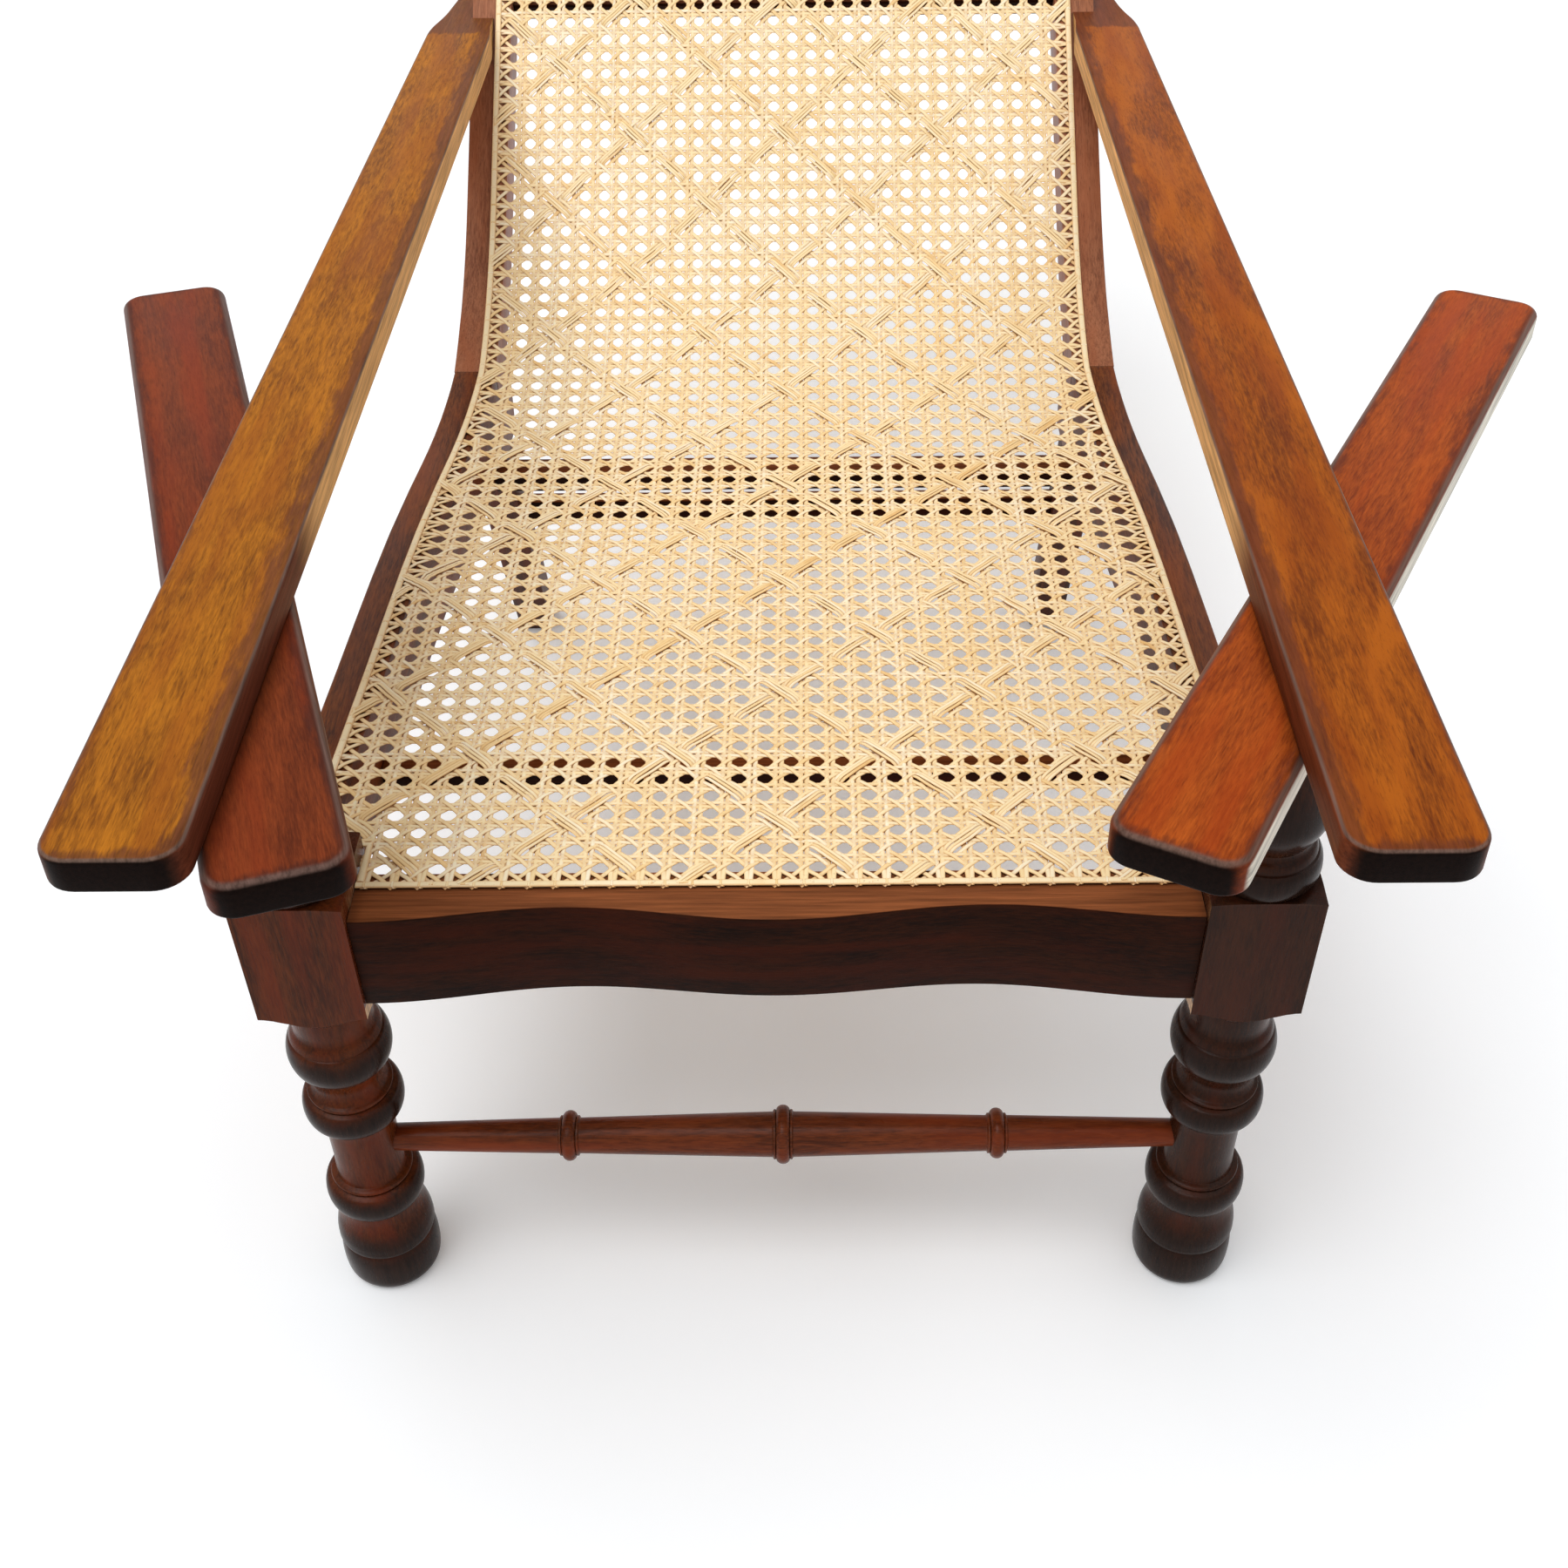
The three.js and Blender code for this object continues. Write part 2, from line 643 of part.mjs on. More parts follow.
// Back stile: the side of the back, bent at its foot and rounded over at its top
function backStile(side) {
  const low = seamLength + fitGap;
  const straight = stileTopLength - half(stileDepth);
  const round = [];
  for (let i = 1; i < bendSteps; i += 1) {
    const turn = (Math.PI * i) / bendSteps;
    const radius = half(stileDepth);
    round.push(lineAt(straight + radius * Math.sin(turn), radius * Math.cos(turn) - radius));
  }
  const outline = [...linePoints(low, straight, 0), ...round, ...linePoints(low, straight, -stileDepth).reverse()];
  const ends = [side * stileInnerX, side * stileHalfWidth];
  const backRailHigh = backRailLength + backRailWidth;
  return sidePrism(outline, Math.min(...ends), Math.max(...ends))
    .subtract(lapDowelSolid(side, fitGap))
    .subtract(backTenon(side, backRailLength, backRailHigh, ...backRailLifts, fitGap))
    .subtract(backTenon(side, crestLowLength, stileTopLength, ...crestLifts, fitGap))
    .subtract(screwBar(side, screwRadius + fitGap, stileHalfWidth - screwInStile - fitGap, armFrontOuterX));
}

// Rails between the side rails, with ends that follow their inner faces
function betweenSideRails(y, thickness, low, high, tenon) {
  const edge = (side) => frameEdge(side, y - thickness, y + thickness, railWidth + fitGap);
  const room = planPrism([...edge(1), ...edge(-1).reverse()], low - cutOverrun, high + cutOverrun);
  const bar = boxBetween([-legX, y - half(thickness), low], [legX, y + half(thickness), high]);
  return bar.intersect(room).add(boxBetween(...tenon(1))).add(boxBetween(...tenon(-1)));
}

function rearStretcher() {
  const end = rearLegInnerX - fitGap;
  const low = rearStretcherMidHeight - half(rearStretcherHeight);
  const high = rearStretcherMidHeight + half(rearStretcherHeight);
  const reach = half(rearStretcherThickness);
  return boxBetween([-end, rearStretcherY - reach, low], [end, rearStretcherY + reach, high])
    .add(boxBetween(...rearStretcherTenon(1)))
    .add(boxBetween(...rearStretcherTenon(-1)));
}

// Rear leg: raked back to its foot and a little deeper at the top
function rearLeg(side) {
  const lowHalf = half(rearFootDepth) / Math.cos(rearRake);
  const highHalf = half(rearTopDepth) / Math.cos(rearRake);
  const topY = rearAxisY(rearTopHeight);
  const frontY = topY - highHalf;
  const backY = topY + highHalf;
  const outline = [
    [rearFootY - lowHalf, 0],
    [rearFootY + lowHalf, 0],
    [backY, railUnderHeightAt(backY) - fitGap],
    [frontY, railUnderHeightAt(frontY) - fitGap],
  ];
  const ends = [side * rearLegInnerX, side * stileHalfWidth];
  return sidePrism(outline, Math.min(...ends), Math.max(...ends))
    .add(boxBetween(...rearLegTenon(side)))
    .subtract(boxBetween(...rearStretcherTenon(side), fitGap));
}

function backCrossRail() {
  const end = stileInnerX - fitGap;
  const high = backRailLength + backRailWidth;
  return backPrism(strip(-end, end, backRailLength, high), ...backRailLifts)
    .add(backTenon(1, backRailLength, high, ...backRailLifts, 0))
    .add(backTenon(-1, backRailLength, high, ...backRailLifts, 0));
}

// Crest rail: arched a little above the stiles
function crestRail() {
  const end = stileInnerX - fitGap;
  const arch = Array.from({ length: crestArchSteps + 1 }, (_, i) => {
    const place = 1 - 2 * (i / crestArchSteps);
    return [end * place, stileTopLength - half(stileDepth) + crestArch * half(1 + Math.cos(Math.PI * place))];
  });
  return backPrism([[-end, crestLowLength], [end, crestLowLength], ...arch], ...crestLifts)
    .add(backTenon(1, crestLowLength, stileTopLength - half(stileDepth), ...crestLifts, 0))
    .add(backTenon(-1, crestLowLength, stileTopLength - half(stileDepth), ...crestLifts, 0));
}

// A closed outline with each corner rounded by its own radius
function roundedShape(corners) {
  const shape = new THREE.Shape();
  corners.forEach(([x, y, radius], i) => {
    const corner = new THREE.Vector2(x, y);
    const [before, after] = [corners.at(i - 1), corners[(i + 1) % corners.length]]
      .map(([u, v]) => new THREE.Vector2(u, v).sub(corner).setLength(radius).add(corner));
    if (i === 0) {
      shape.moveTo(before.x, before.y);
    } else {
      shape.lineTo(before.x, before.y);
    }
    if (radius > 0) {
      shape.quadraticCurveTo(x, y, after.x, after.y);
    }
  });
  shape.closePath();
  return shape;
}

// A board with eased edges, its top face at zero height
function easedBoard(shape, thickness, ease) {
  const geometry = new THREE.ExtrudeGeometry(shape, {
    depth: thickness - 2 * ease,
    bevelEnabled: true,
    bevelThickness: ease,
    bevelSize: ease,
    bevelOffset: -ease,
    bevelSegments: armEaseSteps,
    curveSegments: armCurveSteps,
  });
  geometry.translate(0, 0, ease - thickness);
  return geometry;
}

// Arm: a long board that butts the front of the stile, while its tail passes outside and is screwed to it
function arm(side) {
  const corners = [
    [armInnerX, -armFrontReach, armCornerRadius],
    [armFrontOuterX, -armFrontReach, armCornerRadius],
    [armRearOuterX, armShoulderReach, armShoulderRadius],
    [armTaperX, armTaperReach, armShoulderRadius],
    [armTailX, armRearReach, armTailRadius],
    [armInnerX + armNip, armRearReach, 0],
    [armInnerX + armNip, armShoulderReach + armNip, 0],
    [armInnerX, armNipReach, 0],
  ].map(([x, y, radius]) => [side * x, y, radius]);
  const board = easedBoard(roundedShape(corners), armThickness, armEase);
  const notchX = [side * (stileInnerX - cutOverrun), side * (stileHalfWidth + fitGap)];
  const behind = lineBand(seatFlatLength, stileTopLength, -2 * stileDepth, fitGap);
  return placed(board, armPlane)
    .subtract(sidePrism(behind, Math.min(...notchX), Math.max(...notchX)))
    .subtract(pinBar(side, pinRadius + fitGap, armThickness - pinInArm - fitGap, armThickness + cutOverrun))
    .subtract(screwBar(side, screwRadius + fitGap, stileInnerX, armFrontOuterX))
    .subtract(screwBar(side, screwHeadRadius + fitGap, screwHeadX - screwHeadHeight - fitGap, armFrontOuterX));
}

function armScrew(side) {
  return screwBar(side, screwRadius, stileHalfWidth - screwInStile, screwHeadX - half(screwHeadHeight))
    .add(screwBar(side, screwHeadRadius, screwHeadX - screwHeadHeight, screwHeadX));
}

// Leg rest, bored for its pin, with the pin's axis at the origin and its top at zero height. The board
// reaches further in than out from its pin.
function legRest(side) {
  const middleX = -side * restOffset;
  const lowX = middleX - half(restWidth);
  const highX = middleX + half(restWidth);
  const board = easedBoard(roundedShape([
    [lowX, -restFrontReach, restCornerRadius],
    [highX, -restFrontReach, restCornerRadius],
    [highX, restRearReach, restCornerRadius],
    [lowX, restRearReach, restCornerRadius],
  ]), restThickness, restEase);
  const radius = pinRadius + pinPlay;
  const bore = turned([[radius, -restThickness - cutOverrun], [radius, cutOverrun]], pinSides);
  return solidOf(board).subtract(solidOf(bore));
}

// Cane panel: one open sheet over the seat and back, notched round the front leg blocks
function canePlan(side, inset, endY) {
  const notchX = blockInnerX - caneBlockGap - inset;
  const notchY = blockBackY + caneBlockGap + inset;
  return [[side * notchX, notchY], ...frameEdge(side, notchY, endY, caneMargin + inset)];
}

// A plain grid of openings gives the panel about the open share of the real weave, clear of its borders.
function caneOpenings() {
  const lowLength = railBackY - caneFrontY;
  const cellX = (2 * stileInnerX) / caneColumns;
  const cellLength = (crestLowLength - lowLength) / caneRows;
  const reachX = half(cellX * caneOpenShare);
  const reachLength = half(cellLength * caneOpenShare);
  const columns = [];
  for (let i = 0; i < caneColumns; i += 1) {
    const x = (i + half(1 - caneColumns)) * cellX;
    columns.push(boxBetween([x - reachX, 0, 0], [x + reachX, caneLength, seatFrontHeight + caneLength]));
  }
  const rows = [];
  for (let i = 0; i < caneRows; i += 1) {
    const length = lowLength + (i + half(1)) * cellLength;
    const band = lineBand(length - reachLength, length + reachLength, -cutOverrun, cutOverrun);
    rows.push(sidePrism(band, -legSpacing, legSpacing));
  }
  return wasm.Manifold.union(columns).intersect(wasm.Manifold.union(rows));
}

function canePanel() {
  const endY = lineAt(caneLength, 0)[0];
  const frontX = blockInnerX - caneBlockGap;
  const rightEdge = [[frontX, caneFrontY - cutOverrun], ...canePlan(1, 0, endY + cutOverrun)];
  const leftEdge = [[-frontX, caneFrontY - cutOverrun], ...canePlan(-1, 0, endY + cutOverrun)];
  const plan = planPrism([...rightEdge, ...leftEdge.reverse()], 0, seatFrontHeight + caneLength);
  const sheet = sidePrism(lineBand(0, caneLength, fitGap, fitGap + caneThickness), -legSpacing, legSpacing);
  return plan.intersect(sheet).subtract(caneOpenings());
}

// Binders: the wide strand pegged over the edge of the cane
const binderLow = caneThickness + fitGap * 2;
const binderBand = (low, high) => lineBand(low, high, binderLow, binderLow + binderThickness);

function binderSide(side) {
  const low = binderWidth + fitGap;
  const startY = lineAt(low, 0)[0] - cutOverrun;
  const highLength = caneLength - low;
  const endY = lineAt(caneLength, 0)[0] + cutOverrun;
  const outer = [[side * (blockInnerX - caneBlockGap), startY], ...canePlan(side, 0, endY)];
  const inner = [[side * (blockInnerX - caneBlockGap - binderWidth), startY], ...canePlan(side, binderWidth, endY)];
  const plan = planPrism([...outer, ...inner.reverse()], 0, seatFrontHeight + caneLength);
  return plan.intersect(sidePrism(binderBand(low, highLength), -legSpacing, legSpacing));
}

function binderFront() {
  const end = blockInnerX - caneBlockGap;
  return sidePrism(binderBand(0, binderWidth), -end, end);
}

function binderTop() {
  const end = stileHalfWidth - caneMargin;
  return sidePrism(binderBand(caneLength - binderWidth, caneLength), -end, end);
}

// Finishes seen on the pieces
const finishes = {
  armWood: { color: 0x8a4a1c, roughness: 0.45, metalness: 0 },
  restWood: { color: 0x7a2c14, roughness: 0.4, metalness: 0 },
  legWood: { color: 0x3a2018, roughness: 0.4, metalness: 0 },
  railWood: { color: 0x4a2316, roughness: 0.42, metalness: 0 },
  stileWood: { color: 0x54291f, roughness: 0.42, metalness: 0 },
  cane: { color: 0xe6c98c, roughness: 0.6, metalness: 0 },
  steel: { color: 0x6f6a62, roughness: 0.45, metalness: 1 },
};

function meshOf(name, solid, finish) {
  const mesh = new THREE.Mesh(geometryOf(solid), new THREE.MeshStandardMaterial(finishes[finish]));
  mesh.name = name;
  return mesh;
}

// A leg rest turns on a hinge whose axis is square to the arms.
function hungRest(name, side, angle) {
  const hinge = new THREE.Group();
  hinge.position.set(side * legX, 0, armTopHeight);
  hinge.rotation.x = -armSlope;
  const rest = meshOf(name, legRest(side), 'restWood');
  rest.position.z = -restTopDrop;
  rest.rotation.z = angle;
  hinge.add(rest);
  return hinge;
}

const chair = new THREE.Group();
const sides = [['left', -1], ['right', 1]];
for (const [word, side] of sides) {
  chair.add(meshOf(`front_leg_${word}`, frontLeg(side), 'legWood'));
  chair.add(meshOf(`side_rail_${word}`, sideRail(side), 'railWood'));
  chair.add(meshOf(`rear_leg_${word}`, rearLeg(side), 'legWood'));
  chair.add(meshOf(`back_stile_${word}`, backStile(side), 'stileWood'));
  chair.add(meshOf(`lap_dowel_${word}`, lapDowelSolid(side, 0), 'railWood'));
  chair.add(meshOf(`arm_${word}`, arm(side), 'armWood'));
  chair.add(meshOf(`arm_screw_${word}`, armScrew(side), 'steel'));
  const pin = pinBar(side, pinRadius, armThickness - pinInArm, postTopDrop + pinInPost);
  chair.add(meshOf(`pivot_pin_${word}`, pin, 'railWood'));
  chair.add(meshOf(`cane_binder_${word}`, binderSide(side), 'cane'));
}
chair.add(hungRest('leg_rest_left', -1, leftRestAngle));
chair.add(hungRest('leg_rest_right', 1, rightRestAngle));
chair.add(meshOf('front_rail', frontRail(), 'railWood'));
chair.add(meshOf('front_stretcher', frontStretcher(), 'legWood'));
const bearer = betweenSideRails(bearerY, bearerThickness, bearerLowHeight, bearerHighHeight, bearerTenon);
chair.add(meshOf('seat_bearer', bearer, 'railWood'));
const rearRail = betweenSideRails(rearRailY, rearRailThickness, rearRailLowHeight, rearRailHighHeight,
  rearRailTenon);
chair.add(meshOf('rear_seat_rail', rearRail, 'railWood'));
chair.add(meshOf('rear_stretcher', rearStretcher(), 'legWood'));
chair.add(meshOf('back_cross_rail', backCrossRail(), 'railWood'));
chair.add(meshOf('crest_rail', crestRail(), 'stileWood'));
chair.add(meshOf('cane_panel', canePanel(), 'cane'));
chair.add(meshOf('cane_binder_front', binderFront(), 'cane'));
chair.add(meshOf('cane_binder_top', binderTop(), 'cane'));

// The part's origin is on the floor, under the middle of the chair as it stands with its rests swung out.
const whole = new THREE.Box3().setFromObject(chair, true);
const middle = whole.getCenter(new THREE.Vector3());
chair.position.set(-middle.x, -middle.y, 0);
const group = new THREE.Group();
group.add(chair);

export default group;
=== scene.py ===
# %% [markdown]
# # A planters chair
# A planters chair is a low, reclining armchair in dark hardwood. One woven cane panel runs from
# the front rail, over the seat and up the curved back. The long arms double as foot supports, and
# a leg rest swings out from under each of them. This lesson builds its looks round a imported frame
# of plain solids.
#
# The first cell loads that frame. It gives the exact place of every piece, so nothing is fitted
# by eye.

# %% Load the frame
import math
import random

import bmesh
import bpy
import numpy as np
from mathutils import Matrix, Vector


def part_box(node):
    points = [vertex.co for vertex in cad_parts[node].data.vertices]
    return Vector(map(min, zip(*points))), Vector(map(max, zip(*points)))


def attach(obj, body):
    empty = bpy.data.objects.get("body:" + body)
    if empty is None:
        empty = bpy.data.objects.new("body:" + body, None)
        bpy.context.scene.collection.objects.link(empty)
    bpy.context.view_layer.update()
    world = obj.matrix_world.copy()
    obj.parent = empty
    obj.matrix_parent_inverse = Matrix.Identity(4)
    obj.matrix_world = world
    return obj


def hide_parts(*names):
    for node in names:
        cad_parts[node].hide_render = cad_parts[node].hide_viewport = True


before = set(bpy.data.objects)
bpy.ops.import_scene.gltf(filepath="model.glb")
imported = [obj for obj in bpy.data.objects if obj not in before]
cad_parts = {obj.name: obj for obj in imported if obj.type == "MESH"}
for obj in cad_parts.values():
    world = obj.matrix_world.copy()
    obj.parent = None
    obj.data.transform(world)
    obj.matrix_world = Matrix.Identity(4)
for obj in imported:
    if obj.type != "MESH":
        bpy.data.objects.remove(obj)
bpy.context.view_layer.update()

# %% [markdown]
# ## The chair's own origin
# Every size below is written from a point on the floor, midway between the front legs, with X to
# the right, Y to the back and Z up. The frame says where the legs stand, so the point is worked
# out from their boxes, and each finished mesh is moved by it once.

# %% Find the point between the front legs
MM = 0.001
leg_corners = [*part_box("front_leg_left"), *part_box("front_leg_right")]
ORIGIN = sum(leg_corners, Vector()) / len(leg_corners)
ORIGIN.z = 0.0
TO_FRAME = Matrix.Translation(ORIGIN)
LEG_X = (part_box("front_leg_right")[0].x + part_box("front_leg_right")[1].x) / 2 - ORIGIN.x
print("origin", tuple(round(value, 5) for value in ORIGIN), "leg axis at", round(LEG_X, 4))

# %% [markdown]
# ## The camera
# The photograph looks down at the chair from in front, about 43 degrees below level. The
# position, the aim, the focal length and the small shift of the picture were solved from the
# straight edges of the arms, the legs and the rows of the cane. The camera is set with these
# values as they are.

# %% Set up the camera
CAMERA_PLACE = Vector((23.3, -820.7, 1201.3)) * MM
CAMERA_PITCH = math.radians(42.863)
CAMERA_YAW = math.radians(-0.606)
CAMERA_ROLL = math.radians(-0.821)
PICTURE_WIDTH = 1800
FOCAL_PIXELS = 2180.1
PRINCIPAL_POINT = (917.8, 939.1)
SENSOR_WIDTH = 36.0


def camera_turn():
    forward = Vector((
        math.sin(CAMERA_YAW) * math.cos(CAMERA_PITCH),
        math.cos(CAMERA_YAW) * math.cos(CAMERA_PITCH),
        -math.sin(CAMERA_PITCH),
    ))
    level = Vector((math.cos(CAMERA_YAW), -math.sin(CAMERA_YAW), 0.0))
    upward = level.cross(forward)
    right = level * math.cos(CAMERA_ROLL) + upward * math.sin(CAMERA_ROLL)
    up = upward * math.cos(CAMERA_ROLL) - level * math.sin(CAMERA_ROLL)
    return Matrix((right, up, -forward)).transposed().to_4x4()


def place_object(name, data):
    item = bpy.data.objects.new(name, data)
    bpy.context.scene.collection.objects.link(item)
    return item


camera_data = bpy.data.cameras.new("camera")
camera_data.sensor_width = SENSOR_WIDTH
camera_data.lens = SENSOR_WIDTH * FOCAL_PIXELS / PICTURE_WIDTH
camera_data.shift_x = (PICTURE_WIDTH / 2 - PRINCIPAL_POINT[0]) / PICTURE_WIDTH
camera_data.shift_y = (PRINCIPAL_POINT[1] - PICTURE_WIDTH / 2) / PICTURE_WIDTH
camera = place_object("camera", camera_data)
camera.matrix_world = TO_FRAME @ Matrix.Translation(CAMERA_PLACE) @ camera_turn()
bpy.context.scene.camera = camera
print("lens", round(camera_data.lens, 2), "mm, shift",
      round(camera_data.shift_x, 4), round(camera_data.shift_y, 4))

# %% [markdown]
# ## The line that the seat follows
# Seen from the side, the top of the side frames is a straight seat, a bend and a straight back. A
# place on the chair is easiest to give as a length along that line and a lift off the wood. A
# curve object with modifiers could bend the pieces too, but a function gives the rails, the
# stiles and the cane the very same line, and it takes numbers or whole arrays of them.

# %% Define the seat line
CANE_FRONT = -2 * MM
SEAT_FRONT = 384.2 * MM
SEAT_SLOPE = math.radians(1.9)
SEAT_FLAT = 510 * MM
BEND_RADIUS = 442 * MM
BEND_ANGLE = math.radians(38.4)
BACK_ANGLE = BEND_ANGLE - SEAT_SLOPE
CANE_LENGTH = 1445 * MM
BACK_START = SEAT_FLAT + BEND_RADIUS * BEND_ANGLE


def seat_line(length, lift=0.0):
    flat = np.minimum(length, SEAT_FLAT)
    angle = np.clip((length - SEAT_FLAT) / BEND_RADIUS, 0, BEND_ANGLE) - SEAT_SLOPE
    straight = np.maximum(length - BACK_START, 0)
    bent_y = BEND_RADIUS * (np.sin(angle) + math.sin(SEAT_SLOPE))
    bent_z = BEND_RADIUS * (math.cos(SEAT_SLOPE) - np.cos(angle))
    y = CANE_FRONT + flat * math.cos(SEAT_SLOPE) + bent_y
    z = SEAT_FRONT - flat * math.sin(SEAT_SLOPE) + bent_z
    y = y + straight * np.cos(angle) - lift * np.sin(angle)
    z = z + straight * np.sin(angle) + lift * np.cos(angle)
    return y, z


def seat_height(y):
    return SEAT_FRONT - (y - CANE_FRONT) * math.tan(SEAT_SLOPE)


print("top of the cane", [round(float(value), 4) for value in seat_line(CANE_LENGTH)])

# %% [markdown]
# Seen from above, the side frames bow in from the legs to the straight back. The bow passes
# smoothly through a few shares of the way, so that one formula serves the rail, the cane and its
# binder.

# %% Define the bow of the side frames
BLOCK_WIDTH = 69 * MM
RAIL_WIDTH = 35 * MM
RAIL_DEPTH = 75 * MM
RAIL_HALF_WIDTH = 319 * MM
STILE_HALF_WIDTH = 281.5 * MM
STILE_DEPTH = 38 * MM
SEAM_LENGTH = 631 * MM
LAP_LENGTH = 65 * MM
FIT = 0.3 * MM
SWELL_SHARES = [(0, 1), (0.27, 0.81), (0.62, 0.56), (0.94, 0.08), (1, 0)]
SWELL_STEPS = 14


def through(before, low, high, after, share):
    slope_low = (high - before) / 2
    slope_high = (after - low) / 2
    cubic = 2 * (low - high) + slope_low + slope_high
    square = 3 * (high - low) - 2 * slope_low - slope_high
    return ((cubic * share + square) * share + slope_low) * share + low


def bow():
    knots = [Vector(pair) for pair in SWELL_SHARES]
    guarded = [knots[0], *knots, knots[-1]]
    spans = len(knots) - 1
    for step in range(SWELL_STEPS + 1):
        place = step / SWELL_STEPS * spans
        span = min(int(place), spans - 1)
        yield through(*guarded[span:span + 4], place - span)


bow_start = BLOCK_WIDTH / 2
bow_end = float(seat_line(SEAM_LENGTH)[0])
bow_points = list(bow())
BOW_Y = [bow_start + point[0] * (bow_end - bow_start) for point in bow_points]
BOW_X = [STILE_HALF_WIDTH + point[1] * (RAIL_HALF_WIDTH - STILE_HALF_WIDTH)
         for point in bow_points]


def outer_x(y):
    return np.interp(y, BOW_Y, BOW_X)


print("half width of the frame, front and back",
      round(float(outer_x(0)), 4), round(float(outer_x(1)), 4))

# %% [markdown]
# ## Finishes
# Real timber has patterns of several sizes: slow changes of colour, long streaks, fine fibres and
# short dark pores. They could be painted, but noise that is stretched along the grain gives them
# on any shape and at any size. So the wood is one shader node group, which every wood material
# uses with its own colours.
#
# Node code gets long, so it starts with short helpers: one adds a node, one feeds its inputs, and
# one starts a group.

# %% Define small helpers for shader nodes


def add_node(tree, kind, **settings):
    node = tree.nodes.new(kind)
    for key, value in settings.items():
        setattr(node, key, value)
    return node


def feed(tree, node, **inputs):
    for key, value in inputs.items():
        socket = node.inputs[int(key[1:])] if key[0] == "_" else node.inputs[key.replace("_", " ")]
        if isinstance(value, bpy.types.NodeSocket):
            tree.links.new(value, socket)
        else:
            socket.default_value = value
    return node


def group_of(name, inputs, outputs):
    tree = bpy.data.node_groups.new(name, "ShaderNodeTree")
    for label, kind, value in inputs:
        socket = tree.interface.new_socket(label, in_out="INPUT", socket_type="NodeSocket" + kind)
        if value is not None:
            socket.default_value = value
    for label, kind in outputs:
        tree.interface.new_socket(label, in_out="OUTPUT", socket_type="NodeSocket" + kind)
    return tree, tree.nodes.new("NodeGroupInput").outputs, tree.nodes.new("NodeGroupOutput").inputs


# %% [markdown]
# Sums, ramps and blends come back again and again. With a helper for each kind, a material reads
# almost like a list of its layers.

# %% Define helpers for sums, ramps and noise


def math_node(tree, operation, first, second=0.0, third=0.0):
    node = add_node(tree, "ShaderNodeMath", operation=operation)
    return feed(tree, node, _0=first, _1=second, _2=third).outputs[0]


def times(tree, first, second):
    return math_node(tree, "MULTIPLY", first, second)


def inverse(tree, value):
    return math_node(tree, "SUBTRACT", 1.0, value)


def sway(tree, base, noise, amount):
    """The base, moved up and down by a noise whose middle is one half."""
    return math_node(tree, "MULTIPLY_ADD", math_node(tree, "SUBTRACT", noise, 0.5), amount, base)


def dot(tree, first, second):
    node = add_node(tree, "ShaderNodeVectorMath", operation="DOT_PRODUCT")
    return feed(tree, node, _0=first, _1=second).outputs["Value"]


def ramp(tree, value, low, high):
    node = add_node(tree, "ShaderNodeMapRange", interpolation_type="SMOOTHSTEP")
    return feed(tree, node, Value=value, From_Min=low, From_Max=high).outputs["Result"]


def blend_colours(tree, share, first, second, kind="MIX"):
    node = add_node(tree, "ShaderNodeMix", data_type="RGBA", blend_type=kind)
    feed(tree, node, _0=share, _6=first, _7=second)
    return node.outputs[2]


def object_place(tree):
    return add_node(tree, "ShaderNodeTexCoord").outputs["Object"]


def stretched_noise(tree, vector, stretch, detail=3.0, roughness=0.5):
    scaled = add_node(tree, "ShaderNodeVectorMath", operation="MULTIPLY")
    feed(tree, scaled, _0=vector, _1=stretch)
    noise = add_node(tree, "ShaderNodeTexNoise")
    feed(tree, noise, Vector=scaled.outputs[0], Scale=1.0, Detail=detail, Roughness=roughness)
    return noise.outputs["Fac"]


# %% [markdown]
# The group mixes a light and a dark colour by the sum of three noises, and turns a share of it
# redder. One more pattern, the figure, is a set of bent bands for the wavy marks on the arms: a
# slow noise passed through a sine. Pores come last, as dark dashes. The group gives a colour, a
# roughness and a height, and the shader stays in the material.

# %% Make the wood grain group
SLOW_STRETCH = (10, 42, 42)
STREAK_STRETCH = (48, 460, 460)
FIBRE_STRETCH = (110, 1100, 1100)
PORE_STRETCH = (130, 1500, 1500)
FIGURE_STRETCH = (4, 13, 13)
RED_STRETCH = (5.5, 60, 60)
SLOW_SHARE = 0.8
FIBRE_SHARE = 0.75
TONE_EDGES = (0.1, 0.9)
FIGURE_WAVES = 30.0
FIGURE_POWER = 2.5
RED_SHARE = 0.55
RED_EDGES = (0.42, 0.7)
PORE_EDGES = (0.60, 0.70)
PORE_COLOUR = (0.012, 0.006, 0.004, 1)
GLOSS_SWAY = 0.30
PORE_ROUGHNESS = 0.2
FIBRE_HEIGHT = 0.5
STREAK_HEIGHT = 0.4


